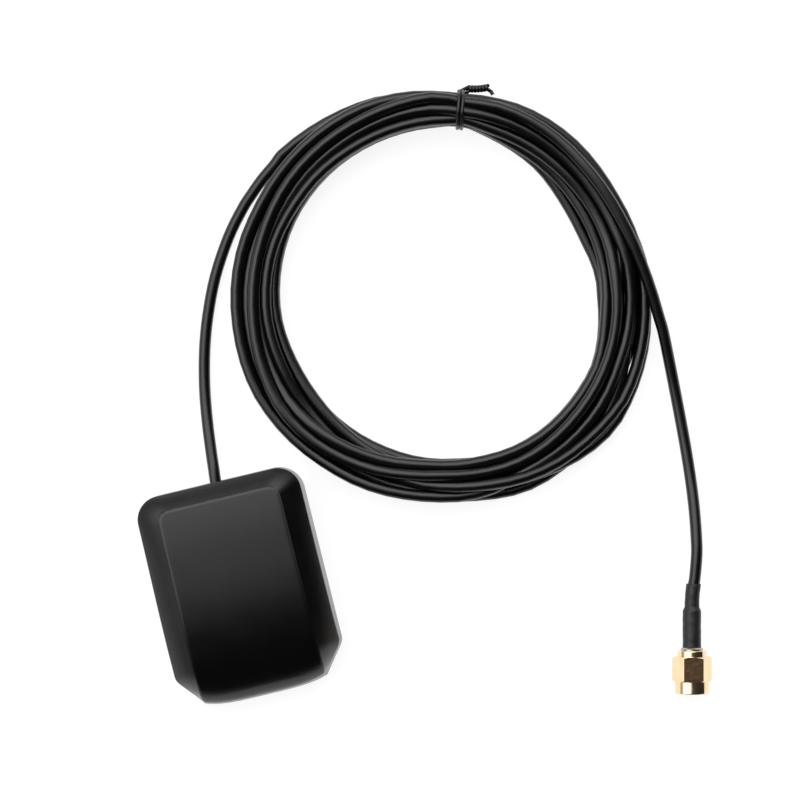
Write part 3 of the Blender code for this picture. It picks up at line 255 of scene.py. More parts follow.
# Inner and outer edge of the coil, seen from above: angle in degrees, then radii in millimetres
COIL_EDGES = (
    (-13.5, 35.5, 48.2), (16.5, 33.4, 46.4), (46.5, 36.0, 47.2), (71.2, 38.5, 46.3), (106.5, 38.2, 48.9),
    (136.5, 38.2, 48.2), (166.5, 38.0, 49.5), (196.5, 37.2, 50.1), (226.5, 37.8, 49.1),
    (256.5, 38.3, 48.4), (286.5, 38.7, 50.2), (316.5, 38.1, 51.0), (346.5, 35.5, 48.2),
)
# Where each turn starts: share of the bundle's width from its inner edge, and layer
COIL_LANES = (
    (0.80, 0), (0.50, 0), (0.16, 0), (0.30, 1), (0.98, 0.4), (0.72, 1),
    (0.10, 1.2), (0.45, 2), (0.88, 1.6), (0.24, 2.2), (0.62, 2.6), (0.55, 3.0),
)

# Middle line of the lead from the puck's wall to the coil, and from the coil to the sleeve
PUCK_LEAD_ROUTE = (
    (0.0003, 0.0285, 0.0047), (0.0006, 0.0325, 0.0038), (0.0013, 0.0397, 0.0023),
    (0.0025, 0.0475, 0.0015), (0.0045, 0.0558, 0.0014), (0.0071, 0.0634, 0.0014),
    (0.0109, 0.0718, 0.0014), (0.0159, 0.0798, 0.0014), (0.0206, 0.0855, 0.0014),
    (0.0236, 0.0884, 0.0014), (0.0268, 0.0912, 0.0014), (0.0302, 0.0937, 0.0014),
)
PLUG_LEAD_ROUTE = (
    (0.1087, 0.0348, 0.0043), (0.1086, 0.0283, 0.0029), (0.1084, 0.0212, 0.0018),
    (0.1081, 0.0141, 0.0014), (0.1077, 0.0071, 0.0014), (0.1071, 0.0001, 0.0018),
    (0.1062, -0.0068, 0.0030), (0.1050, -0.0134, 0.0042), (0.1041, -0.0172, 0.0046),
)


def blended(values, place):
    """Value at a fractional place in a list, eased from each entry to the next."""
    values = np.asarray(values, dtype=float)
    low = np.clip(place.astype(int), 0, len(values) - 2)
    share = (1 - np.cos(pi * np.clip(place - low, 0, 1))) / 2
    return values[low] * (1 - share) + values[low + 1] * share


def push_apart(radius, height, spacing):
    """Move strands that cross the same half-plane until they are a spacing apart."""
    for turns in range(1, COIL_TURNS + 1):
        step = turns * TURN_SAMPLES
        across = radius[step:] - radius[:-step]
        up = height[step:] - height[:-step]
        distance = np.maximum(np.hypot(across, up), LEAD_DIAMETER / 100)
        push = np.clip(spacing[step:] - distance, 0, None) / distance * SETTLE_PUSH
        radius[:-step] -= across * push
        radius[step:] += across * push
        height[:-step] -= up * push
        height[step:] += up * push


def settled_coil():
    """Angle, radius and height of every sample along the coiled part of the lead."""
    strand = LEAD_DIAMETER / 2
    whole = COIL_START - COIL_END + 2 * pi * COIL_TURNS
    wound = np.linspace(0, whole, round(whole / (2 * pi) * TURN_SAMPLES) + 1)
    angle = COIL_START - wound
    stations = np.radians([edge[0] for edge in COIL_EDGES])
    around = (angle - stations[0]) % (2 * pi) + stations[0]
    place = np.interp(around, stations, np.arange(len(stations)))
    inner = blended([edge[1] / 1000 for edge in COIL_EDGES], place) + strand
    outer = blended([edge[2] / 1000 for edge in COIL_EDGES], place) - strand

    turn = wound / (2 * pi)
    share = blended([lane[0] for lane in COIL_LANES], turn)
    height = strand + LEAD_DIAMETER * LAYER_HEIGHT * blended([lane[1] for lane in COIL_LANES], turn)
    chance = np.random.default_rng(3)
    for waves in (1, 2, 3):
        drift = np.cumsum(chance.uniform(0, 2 * pi, COIL_TURNS + 2))
        share += LANE_DRIFT / waves * np.sin(waves * wound + np.interp(turn, range(COIL_TURNS + 2), drift))
    radius = inner + np.clip(share, 0, 1) * (outer - inner)

    tie_edges = COIL_EDGES[3]
    tie_radius = (tie_edges[1] + tie_edges[2]) / 2000
    tie_height = TIE_WIRE_DIAMETER + TIE_HALF_HEIGHT
    off_tie = (angle - TIE_ANGLE + pi) % (2 * pi) - pi
    in_tie = np.abs(off_tie) < HELD_ARC
    spacing = np.where(np.abs(off_tie) < PRESSED_ARC, PRESSED_SPACING, STRAND_SPACING) * LEAD_DIAMETER
    table = strand + np.where(in_tie, TIE_WIRE_DIAMETER, 0)
    joining = 1 - np.clip(wound / JOIN_ARC, 0, 1)
    leaving = 1 - np.clip((whole - wound) / LEAVE_ARC, 0, 1)
    free = (joining == 0) & (leaving == 0)
    for count in range(SETTLE_PASSES):
        slack = 1 - count / SETTLE_PASSES
        height -= SETTLE_SINK * slack
        push_apart(radius, height, spacing)
        for line in (radius, height):
            smooth = SETTLE_SMOOTH[0] + SETTLE_SMOOTH[1] * slack
            line[1:-1] += smooth * (line[:-2] + line[2:] - 2 * line[1:-1])
        radius[free] = np.clip(radius, inner, outer)[free]
        u = (radius - tie_radius) / (TIE_HALF_WIDTH - strand)
        v = (height - tie_height) / (TIE_HALF_HEIGHT - strand)
        outside = np.where(in_tie, np.maximum(np.hypot(u, v), 1), 1)
        radius = tie_radius * (1 - 1 / outside) + radius / outside
        height = tie_height * (1 - 1 / outside) + height / outside
        height = np.maximum(height, table)
        radius += joining / 2 * (JOIN_LANE + (JOIN_RADIUS - JOIN_LANE) * joining ** 1.5 - radius)
        height += joining / 2 * (strand - height)
        radius += leaving / 2 * (LEAVE_LANE + (LEAVE_RADIUS - LEAVE_LANE) * leaving ** 3 - radius)
        over = LEAVE_CROSSING + (LEAVE_HEIGHT - LEAVE_CROSSING) * leaving ** 3
        height += leaving * 0.3 * (over - height)
        radius[0], radius[-1], height[0], height[-1] = JOIN_RADIUS, LEAVE_RADIUS, strand, LEAVE_HEIGHT
    return angle, radius, height


def smooth_line(points, steps):
    """Catmull-Rom curve through points, with a number of steps between each two."""
    points = [Vector(p) for p in points]
    ends = [2 * points[0] - points[1]] + points + [2 * points[-1] - points[-2]]
    fine = []
    for a, b, c, d in zip(ends, ends[1:], ends[2:], ends[3:]):
        for step in range(steps):
            t = step / steps
            fine.append(0.5 * (2 * b + (c - a) * t + (2 * a - 5 * b + 4 * c - d) * t ** 2
                               + (3 * b - a - 3 * c + d) * t ** 3))
    return fine + [points[-1]]


def wire_curve(name, points, diameter, sides):
    """Round wire along a line of points, as a curve of one open spline."""
    curve = bpy.data.curves.new(name, "CURVE")
    curve.dimensions = "3D"
    curve.bevel_depth = diameter / 2
    curve.bevel_resolution = sides // 4 - 1
    curve.use_fill_caps = True
    spline = curve.splines.new("POLY")
    spline.points.add(len(points) - 1)
    for place, point in zip(spline.points, points):
        place.co = (*point, 1.0)
    spline.use_smooth = True
    wire = bpy.data.objects.new(name, curve)
    scene.collection.objects.link(wire)
    return wire


exit_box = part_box("cable_grommet")
lead_exit = Vector((0, exit_box[1].y, (exit_box[0].z + exit_box[1].z) / 2))
hidden_start = lead_exit - Vector((0, 0.003, 0))

# The plug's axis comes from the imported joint: it points out of the coupling nut's open end
plug_joint = frame["joints"][0]
plug_axis = Vector(plug_joint["axis"]).normalized()
plug_point = Vector(plug_joint["pos_m"])


def along_plug(node):
    """How far a node reaches along the plug's axis: its rearmost and foremost place."""
    reach = [(corner.co - plug_point).dot(plug_axis) for corner in frame["nodes"][node].data.vertices]
    return min(reach), max(reach)


# The sleeve's tail and the lead in it bend away from the axis a little, towards the view's right
TAIL_BEND = 0.00045
TAIL_LENGTH = 0.0056
sleeve_rear = plug_point + plug_axis * along_plug("heat_shrink")[0]
bend_side = Vector((0, 0, 1)).cross(plug_axis)


def tail_shift(back_from_rear):
    """How far the sleeve's tail lies off the axis, at a distance from its rear end."""
    return bend_side * TAIL_BEND * max(0, 1 - back_from_rear / TAIL_LENGTH) ** 2


coil_angle, coil_radius, coil_height = settled_coil()
coil_points = [(COIL_CENTRE[0] + r * cos(a), COIL_CENTRE[1] + r * sin(a), z)
               for a, r, z in zip(coil_angle, coil_radius, coil_height)]
before_coil = smooth_line((hidden_start, lead_exit, *PUCK_LEAD_ROUTE, coil_points[0], coil_points[1]), 4)[:-4]
# The lead runs into the sleeve's tail by a point just behind it, its rear end and a point inside
into_sleeve = (sleeve_rear - 0.0012 * plug_axis + 1.5 * tail_shift(0), sleeve_rear + tail_shift(0),
               sleeve_rear + 0.003 * plug_axis + tail_shift(0.003))
after_coil = smooth_line((coil_points[-2], coil_points[-1], *PLUG_LEAD_ROUTE, *into_sleeve), 4)[4:]
lead = wire_curve("coaxial_lead", before_coil[:-1] + coil_points + after_coil[1:], LEAD_DIAMETER, LEAD_SIDES)


def soft_plastic(name, tones, gloss, haze, grain, strength, relief, drawn=None):
    """Black plastic skin on a cord: tone and gloss drift with a haze, over a fine grain in relief.

    Haze and grain are each a noise's scale, in swells to the metre, and its detail. Where drawn gives a
    frame, the grain is four times as long along its Z.
    """
    material, tree, place = new_material(name)
    laid = place
    if drawn is not None:
        laid = add_node(tree, "Mapping", {"Vector": along_axis(tree, place, drawn), "Scale": (1.0, 1.0, 0.25)})
    drift, fine = [add_node(tree, "TexNoise", {"Vector": where, "Scale": scale, "Detail": detail})
                   for where, (scale, detail) in ((place, haze), (laid, grain))]
    return finished(material, (drift, *tones), (drift, (0, 1), gloss), (fine, strength, relief), IOR=1.5)


# Extruded PVC: smooth and half glossy, with a faint dust haze about 4 mm wide
jacket = soft_plastic("jacket_pvc_extruded", ("#030304", "#080809"), gloss=(0.24, 0.34), haze=(260, 3),
                      grain=(1400, 2), strength=0.12, relief=0.00004)
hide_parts("puck_lead", "cord_coil", "connector_lead")
outfit(lead, jacket)


# Twist tie: soft steel wire in a black PVC coat, wound twice round the bundle and twisted by hand
# It pulls the strands into a tight oval, so its loops follow the outermost strands
TIE_PITCH = 0.00092
TIE_TURNS = 2
TIE_STEPS = 60
TIE_SIDES = 12
TWIST_LENGTH = 0.0043
TWIST_GAP = 0.0005              # from the loops to the twist
TWIST_LEAN = 0.0007             # how far the twist bends outward by its end
TWIST_RADIUS = TIE_WIRE_DIAMETER * 0.52
TWIST_TURNS = 3
TWIST_STEPS = 56
TWIST_LEG = ((0.0008, 0.0004), (0.0013, 0.0011))    # bend of one end beyond the twist: how far on, how far in

tie_reach = (LEAD_DIAMETER + TIE_WIRE_DIAMETER) / 2 - TIE_BITE
tie_outward = Vector((cos(TIE_ANGLE), sin(TIE_ANGLE), 0))
tie_along = tie_outward.cross(Vector((0, 0, 1)))


def strands_at(angle):
    """Radius and height of each strand where the coil crosses an angle."""
    crossing = angle + 2 * pi * np.arange(-COIL_TURNS - 2, 3)
    crossing = crossing[(crossing <= coil_angle[0]) & (crossing >= coil_angle[-1])]
    return [(np.interp(-c, -coil_angle, coil_radius), np.interp(-c, -coil_angle, coil_height)) for c in crossing]


def at_tie(radius, height, along):
    """Point of the tie's plane, moved along the bundle."""
    return Vector((*COIL_CENTRE, height)) + tie_outward * radius + tie_along * along


def tie_route():
    """Wire from one twisted end, twice round the outermost strands, to the other end."""
    tied = np.array(strands_at(TIE_ANGLE))
    spread = TIE_TURNS * TIE_PITCH / 2
    loops = []
    for i in range(TIE_TURNS * TIE_STEPS + 1):
        turn = 2 * pi * i / TIE_STEPS
        facing = np.array((cos(turn), sin(turn)))
        radius, height = tied[np.argmax(tied @ facing)] + tie_reach * facing
        along = TIE_PITCH * i / TIE_STEPS - spread
        loops.append(at_tie(radius, max(height, TIE_WIRE_DIAMETER / 2), along))
    start_radius, start_height = tied[np.argmax(tied[:, 0])] + (tie_reach, 0)
    core = start_radius + TIE_WIRE_DIAMETER * 1.1
    ends = []
    for phase in (0, pi):
        end = []
        for i in range(TWIST_STEPS + 1):
            turn = phase + 2 * pi * TWIST_TURNS * i / TWIST_STEPS
            along = spread + TWIST_GAP + TWIST_LENGTH * i / TWIST_STEPS
            lean = TWIST_LEAN * (i / TWIST_STEPS) ** 2
            end.append(at_tie(core + lean + TWIST_RADIUS * cos(turn), start_height + TWIST_RADIUS * sin(turn),
                              along))
        ends.append(end)
    leg = [ends[1][-1] + on * tie_along - inward * tie_outward for on, inward in TWIST_LEG]
    return ends[0][::-1] + loops + ends[1] + leg


tie = wire_curve("twist_tie_wire", tie_route(), TIE_WIRE_DIAMETER, TIE_SIDES)
# Soft PVC coat on wire: nearly black and half glossy, with small dents where it was bent
coat = soft_plastic("tie_pvc_coated_wire", ("#0b0b0d", "#0b0b0d"), gloss=(0.26, 0.44), haze=(900, 2),
                    grain=(900, 2), strength=0.3, relief=0.00008)
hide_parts("twist_tie")
outfit(tie, coat)


# Top housing: black ABS, injection moulded in a spark-eroded tool that leaves a fine even grain
# Its upright walls end in a rounded rim, slopes rise from there to a raised panel, and the top falls in
# one curve to the bowed nose. It is cored out from below, with four bosses for the screws
PUCK_LENGTH = 0.0509
PUCK_WIDTH = 0.0399
PUCK_HEIGHT = 0.0150
CORNER_RADIUS = 0.0060
SIDE_TAPER = 0.0003
RIM_HEIGHT = 0.0109
RIM_END_RISE = 0.0009           # the wall's top climbs by this much more towards the cable end
NOSE_RIM_HEIGHT = 0.0022
RIM_FALL = 1.6                  # the wall's top sinks by this power of the panel edge's own fall
RIM_DRAFT = 0.0005
RIM_END_DRAFT = 0.0
FOOT_ROUND = 0.0002
HOUSING_LIFT = 0.0005
RIM_ROUND = 0.00025
PANEL_CROWN = 0.00050           # how far the level part of the panel dips again at the cable end
SLOPE_STEPS = 8
SLOPE_CROWN = 0.00018
PANEL_SIDE_SLOPE = 0.00545
PANEL_END_SLOPE = 0.0036
PANEL_CORNER_RADIUS = 0.0027
PANEL_STEP = 0.0001
PANEL_EDGE_ROUND = 0.0006
PANEL_ROUND_STEPS = 5
ROUND_STEPS = 4
GROOVE_WIDTH = 0.0002
GROOVE_DEPTH = 0.000005
NOSE_CHAMFER_WIDTH = 0.00535
NOSE_CHAMFER_LENGTH = 0.0069
NOSE_CHAMFER_BLEND = 0.0008
NOSE_BOW = 0.0013
NOSE_LIP_HEIGHT = 0.0034
NOSE_SETBACK = 0.0008
NOSE_FULLNESS = 3.2
LEVEL_LENGTH = 0.01525
HOUSING_WALL = 0.0020
LIP_WALL = 0.0009
LEDGE_HEIGHT = 0.0031
BOSS_DIAMETER = 0.0044
BOSS_BOTTOM = 0.00225
NOSE_BOSS_INSET = 0.0055
PILOT_DEPTH = 0.0048
PILOT_RADIUS = 0.00105
EXIT_WALL = 0.0026
EXIT_BLOCK_WIDTH = 0.0090
EXIT_HOLE_RADIUS = 0.00215
NOSE_STEPS = 40
CHAMFER_STEPS = 18
SIDE_STEPS = 30
CORNER_STEPS = 18
ROUND_SEGMENTS = 48

half_length = PUCK_LENGTH / 2
half_width = PUCK_WIDTH / 2
nose_half = half_width - NOSE_CHAMFER_WIDTH
chamfer_slope = NOSE_CHAMFER_WIDTH / NOSE_CHAMFER_LENGTH
crest_y = half_length - LEVEL_LENGTH


def rounded_min(a, b, blend):
    """The smaller of two values, with the corner between them rounded over."""
    closeness = max(blend - abs(a - b), 0) / blend
    return min(a, b) - closeness * closeness * blend / 4


def nose_edge(x, nose_y, corner_x):
    """Bowed front edge of the puck: y at x."""
    return nose_y + NOSE_BOW * (x / corner_x) ** 4


def plan_rows(side_x, end_y, corner_radius, corner_x, nose_y):
    """One level of the puck seen from above, as rows of (x, y) points from its nose to its cable end."""
    across = [2 * i / NOSE_STEPS - 1 for i in range(NOSE_STEPS + 1)]
    rows = [[(corner_x * f, nose_edge(corner_x * f, nose_y, corner_x)) for f in across]]
    corner_y = nose_y + NOSE_BOW
    chamfer_end = corner_y + NOSE_CHAMFER_LENGTH
    arc_start = end_y - corner_radius
    turns = [pi / 2 * k / CHAMFER_STEPS for k in range(1, CHAMFER_STEPS + 1)]
    levels = [corner_y + NOSE_CHAMFER_LENGTH * (1 - cos(turn)) for turn in turns]
    levels += [chamfer_end + (arc_start - chamfer_end) * (k / SIDE_STEPS) ** 1.5
               for k in range(1, SIDE_STEPS + 1)]
    ends = []
    for y in levels:
        taper = SIDE_TAPER * (y - chamfer_end) / (arc_start - chamfer_end)
        chamfer_x = corner_x + chamfer_slope * (y - corner_y)
        ends.append((rounded_min(side_x - taper, chamfer_x, NOSE_CHAMFER_BLEND), y))
    for k in range(1, CORNER_STEPS + 1):
        angle = pi / 2 * k / CORNER_STEPS
        x = side_x - SIDE_TAPER - corner_radius * (1 - cos(angle))
        ends.append((x, arc_start + corner_radius * sin(angle)))
    rows += [[(x * f, y) for f in across] for x, y in ends]
    return rows


def around(rows):
    """Edge of a grid of rows, anticlockwise from its first point."""
    right = [row[-1] for row in rows[1:-1]]
    left = [row[0] for row in rows[-2:0:-1]]
    return rows[0] + right + rows[-1][::-1] + left


def outline(inset, end_inset=None):
    """Plan of the housing's lower wall, moved in by inset, and at the cable end by a value of its own."""
    corner_shift = inset * (hypot(1, chamfer_slope) - chamfer_slope)
    end_y = half_length - (inset if end_inset is None else end_inset)
    return around(plan_rows(half_width - inset, end_y, CORNER_RADIUS - inset,
                            nose_half - corner_shift, inset - half_length))


def panel_rows(inset):
    """Plan of the raised top panel, moved in by inset, as rows."""
    side_x = half_width - PANEL_SIDE_SLOPE - inset
    return plan_rows(side_x, half_length - PANEL_END_SLOPE - inset, PANEL_CORNER_RADIUS - inset,
                     side_x - NOSE_SETBACK / 2, NOSE_SETBACK + inset - half_length)


def roof_height(x, y, inset=0.0):
    """Height of the top: level at the cable end, then falling in one curve to the nose."""
    tip = nose_edge(x, inset - half_length, nose_half)
    fall = min(max((crest_y - y) / (crest_y - tip), 0), 1)
    dip = PANEL_CROWN * (max(y - crest_y, 0) / LEVEL_LENGTH) ** 2
    return NOSE_LIP_HEIGHT + (PUCK_HEIGHT - inset - NOSE_LIP_HEIGHT) * sqrt(1 - fall ** NOSE_FULLNESS) - dip


def raised(points, height, drop=0.0):
    """Plan points lifted to one height, or to the height that a function gives, less a drop."""
    return [(x, y, (height(x, y) if callable(height) else height) - drop) for x, y in points]


def rim_line(plan, panel_edge, drop=0.0):
    """Top of the upright wall over a plan, less a drop: it sinks towards the nose as the panel's edge does."""
    rim = []
    for (x, y), (_, _, edge) in zip(plan, panel_edge):
        share = min((edge + PANEL_STEP - NOSE_LIP_HEIGHT) / (PUCK_HEIGHT - NOSE_LIP_HEIGHT), 1)
        rise = RIM_END_RISE * min(max((y - crest_y) / LEVEL_LENGTH, 0), 1) ** 1.5
        rim.append((x, y, NOSE_RIM_HEIGHT + (RIM_HEIGHT - drop - NOSE_RIM_HEIGHT) * share ** RIM_FALL + rise))
    return rim


def smoothed(mesh, angle):
    """Shade a mesh smooth where its faces meet at less than an angle in degrees."""
    mesh.shade_smooth()
    mesh.set_sharp_from_angle(angle=radians(angle))


def piece_from(name, build, smooth_angle=None):
    """Object from a bmesh that is then freed, shaded flat, or smooth below an angle."""
    mesh = bpy.data.meshes.new(name)
    build.to_mesh(mesh)
    build.free()
    if smooth_angle is not None:
        smoothed(mesh, smooth_angle)
    piece = bpy.data.objects.new(name, mesh)
    scene.collection.objects.link(piece)
    return piece


def skinned(build, rings):
    """Add and return the faces between each ring of points and the next; a ring may be a single point."""
    faces = []
    for low, high in zip(rings, rings[1:]):
        for i in range(max(len(low), len(high))):
            corners = [ring[k % len(ring)] for ring, k in ((low, i), (low, i + 1), (high, i + 1), (high, i))]
            faces.append(build.faces.new(list(dict.fromkeys(corners))))
    return faces


def cylinders(places, radius, depth, segments=ROUND_SEGMENTS, tip=None):
    """Cylinders along Z, one at each matrix in places, or cones that narrow to the radius of their tip."""
    build = bmesh.new()
    for place in places:
        bmesh.ops.create_cone(build, cap_ends=True, segments=segments, radius1=radius,
                              radius2=radius if tip is None else tip, depth=depth, matrix=place)
    return build


def loft(name, loops, roof=None):
    """Closed solid through loops of equal length, with a flat floor and a flat or gridded top."""
    build = bmesh.new()
    rings = [[build.verts.new(point) for point in loop] for loop in loops]
    if roof:
        grid = [[build.verts.new(point) for point in row] for row in roof]
        rings.append(around(grid))
        for low, high in zip(grid, grid[1:]):
            for i in range(len(low) - 1):
                build.faces.new((low[i], low[i + 1], high[i + 1], high[i]))
    else:
        build.faces.new(rings[-1])
    build.faces.new(rings[0][::-1])
    skinned(build, rings)
    return piece_from(name, build)


def columns(name, places, radius, bottom, top):
    """Upright cylinders, one at each (x, y), in one mesh."""
    centres = [Matrix.Translation((x, y, (bottom + top) / 2)) for x, y in places]
    return piece_from(name, cylinders(centres, radius, top - bottom))


def cut(piece, tool, operation="DIFFERENCE"):
    """Cut a piece with a tool, or intersect the two, exactly, and throw the tool away."""
    step = piece.modifiers.new(tool.name, "BOOLEAN")
    step.operation = operation
    step.object = tool
    settled = bpy.data.meshes.new_from_object(piece.evaluated_get(bpy.context.evaluated_depsgraph_get()))
    piece.modifiers.remove(step)
    piece.data = settled
    bpy.data.objects.remove(tool)


def screw_places():
    """The four base screws: at the corner centres, and set in from the nose's edge and chamfers."""
    corner = (half_width - SIDE_TAPER - CORNER_RADIUS, half_length - CORNER_RADIUS)
    nose_y = NOSE_BOSS_INSET - half_length
    chamfer_x = nose_half + chamfer_slope * (nose_y + half_length - NOSE_BOW)
    nose_x = chamfer_x - NOSE_BOSS_INSET * hypot(1, chamfer_slope)
    return [(-corner[0], corner[1]), corner, (nose_x, nose_y), (-nose_x, nose_y)]


def housing_walls():
    """Loops from the foot of the housing to the edge of its panel."""
    edge = np.array(raised(around(panel_rows(0.0)), roof_height, PANEL_STEP))
    plan = outline(RIM_DRAFT, RIM_END_DRAFT)
    rim, low_rim = [np.array(rim_line(plan, edge, drop)) for drop in (0.0, RIM_ROUND)]
    walls = [raised(outline(FOOT_ROUND), HOUSING_LIFT), raised(outline(0.0), HOUSING_LIFT + FOOT_ROUND)]
    # The rim is rounded from the wall into the slope, and the slope is slightly crowned
    after_rim = rim + (edge - rim) * (1.5 * RIM_ROUND / PANEL_SIDE_SLOPE)
    for t in np.linspace(0, 1, ROUND_STEPS + 1):
        walls.append(low_rim * (1 - t) ** 2 + 2 * rim * t * (1 - t) + after_rim * t * t)
    for share in np.linspace(0, 1, SLOPE_STEPS + 1)[1:]:
        walls.append(rim + (edge - rim) * share + (0, 0, SLOPE_CROWN * sin(pi * share)))
    walls.append(raised(around(panel_rows(GROOVE_WIDTH / 2)), roof_height, PANEL_STEP + GROOVE_DEPTH))
    for k in range(PANEL_ROUND_STEPS):
        turn = pi / 2 * k / PANEL_ROUND_STEPS
        inset = GROOVE_WIDTH + PANEL_EDGE_ROUND * (1 - cos(turn))
        walls.append(raised(around(panel_rows(inset)), roof_height, PANEL_STEP * (1 - sin(turn))))
    return walls


def moulded_housing():
    """The shell: its outer form, less the core, the base's recess, the pilot holes and the cable exit."""
    roof = [raised(row, roof_height) for row in panel_rows(GROOVE_WIDTH + PANEL_EDGE_ROUND)]
    housing = loft("moulded_housing", housing_walls(), roof)
    panel_edge = raised(around(panel_rows(0.0)), roof_height, PANEL_STEP)
    inner = HOUSING_WALL + RIM_DRAFT
    core = loft("core", [raised(outline(inner), -HOUSING_WALL), rim_line(outline(inner), panel_edge)],
                [raised(row, lambda x, y: roof_height(x, y, HOUSING_WALL)) for row in panel_rows(HOUSING_WALL)])
    recess = loft("recess", [raised(outline(LIP_WALL), -HOUSING_WALL), raised(outline(LIP_WALL), LEDGE_HEIGHT)])
    for void in (core, recess):
        cut(void, columns("bosses", screw_places(), BOSS_DIAMETER / 2, BOSS_BOTTOM, PUCK_HEIGHT + HOUSING_WALL))
    exit_face = lead_exit.y - EXIT_WALL
    build = bmesh.new()
    bmesh.ops.create_cube(build, size=1.0, matrix=Matrix.Translation(
        (0, exit_face + PUCK_HEIGHT / 2, LEDGE_HEIGHT + PUCK_HEIGHT / 2)) @ Matrix.Diagonal(
        (EXIT_BLOCK_WIDTH, PUCK_HEIGHT, PUCK_HEIGHT, 1)))
    cut(core, piece_from("exit_block", build))
    cut(housing, core)
    cut(housing, recess)
    cut(housing, columns("pilots", screw_places(), PILOT_RADIUS, 0, BOSS_BOTTOM + PILOT_DEPTH))
    across_wall = Matrix.Translation(lead_exit) @ Matrix.Rotation(pi / 2, 4, "X")
    cut(housing, piece_from("exit_hole", cylinders([across_wall], EXIT_HOLE_RADIUS, 4 * EXIT_WALL)))
    return housing


def moulded_abs(name, colour, worn, grain, gloss):
    """Moulded ABS: an even grain from the tool, whose tone and gloss drift a little from handling."""
    material, tree, place = new_material(name)
    spark = add_node(tree, "TexNoise", {"Vector": place, "Scale": 1 / grain, "Detail": 3, "Roughness": 0.6})
    cells = add_node(tree, "TexVoronoi", {"Vector": place, "Scale": 1 / grain})
    height = add_node(tree, "Math", {0: spark, 1: 0.4, 2: cells}, operation="MULTIPLY_ADD")
    haze = add_node(tree, "TexNoise", {"Vector": place, "Scale": 140, "Detail": 4})
    mottle = add_node(tree, "Math", {0: spark, 1: haze}, operation="MULTIPLY")
    return finished(material, (mottle, colour, worn), (haze, (0, 1), (gloss - 0.04, gloss + 0.06)),
                    (height, 0.6, grain / 7), IOR=1.52)


# The real grain is under 0.1 mm, too fine for the render, so both grains of the puck are drawn coarser
HOUSING_GRAIN = 0.0003
BASE_GRAIN = 0.00045
housing = moulded_housing()
smoothed(housing.data, 28)
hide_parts("top_housing")
outfit(housing, moulded_abs("abs_spark_eroded", "#030303", "#070708", grain=HOUSING_GRAIN, gloss=0.23))


# Base plate: black ABS, moulded flat with a raised cup for the magnet, held by four screws from below
# The magnet in the cup is a sintered ferrite disc, and a thin silicone seal lies under the housing's ledge
def carried(material, *nodes):
    """Give CAD nodes that are shown as they are a better material."""
    for node in nodes:
        frame["nodes"][node].material_slots[0].material = material


def grained(name, low, high, roughness, grain, relief, metallic=0.0, blotch=0.004):
    """Surface whose tone and gloss drift between two values over blotches, under a fine grain in relief."""
    material, tree, place = new_material(name)
    drift, fine = [add_node(tree, "TexNoise", {"Vector": place, "Scale": 1 / size, "Detail": detail})
                   for size, detail in ((blotch, 4), (grain, 3))]
    share = add_node(tree, "Math", {0: drift, 1: fine}, operation="ADD")
    share = add_node(tree, "Math", {0: share, 1: 0.5}, operation="SUBTRACT", use_clamp=True)
    return finished(material, (share, low, high), (drift, (0.3, 0.7), roughness), (fine, 0.4, relief),
                    Metallic=metallic)


# The base has the coarser grain of its own tool; the disc is matt grey-black with pores from pressing
carried(moulded_abs("abs_base_moulded", "#0b0b0c", "#1b1b1d", grain=BASE_GRAIN, gloss=0.5), "base_plate")
carried(grained("ferrite_sintered", "#29292b", "#4a4a4d", (0.45, 0.7), 0.00035, 0.00004, blotch=0.003), "magnet")
carried(grained("silicone_seal", "#1d1e20", "#2c2d30", (0.55, 0.7), 0.0005, 0.00002), "housing_gasket")


# Screws: four cross-head thread-forming screws of zinc-plated steel, driven flush into the base
# Each is turned by its own amount, as a driver leaves them
SCREW_HEAD_RADIUS = 0.0017
SCREW_SHANK_RADIUS = 0.00085
SCREW_ROOT_RADIUS = 0.0006
SCREW_FACE = 0.0002             # the head's flat face lies this far inside the base
SCREW_LENGTH = 0.0060
SCREW_POINT = 0.0012
SCREW_PITCH = 0.0006
SCREW_EDGE = 0.0001             # thickness of the head's rim
SCREW_FLANK = 2.2               # how steeply the thread's ridge falls to its root
SCREW_STEPS = 12                # rows of points to a turn of the thread
SCREW_SEGMENTS = 40
RECESS_RADIUS = 0.0009
RECESS_DEPTH = 0.0008
RECESS_SLOT = 0.30              # width of a slot as a share of its length


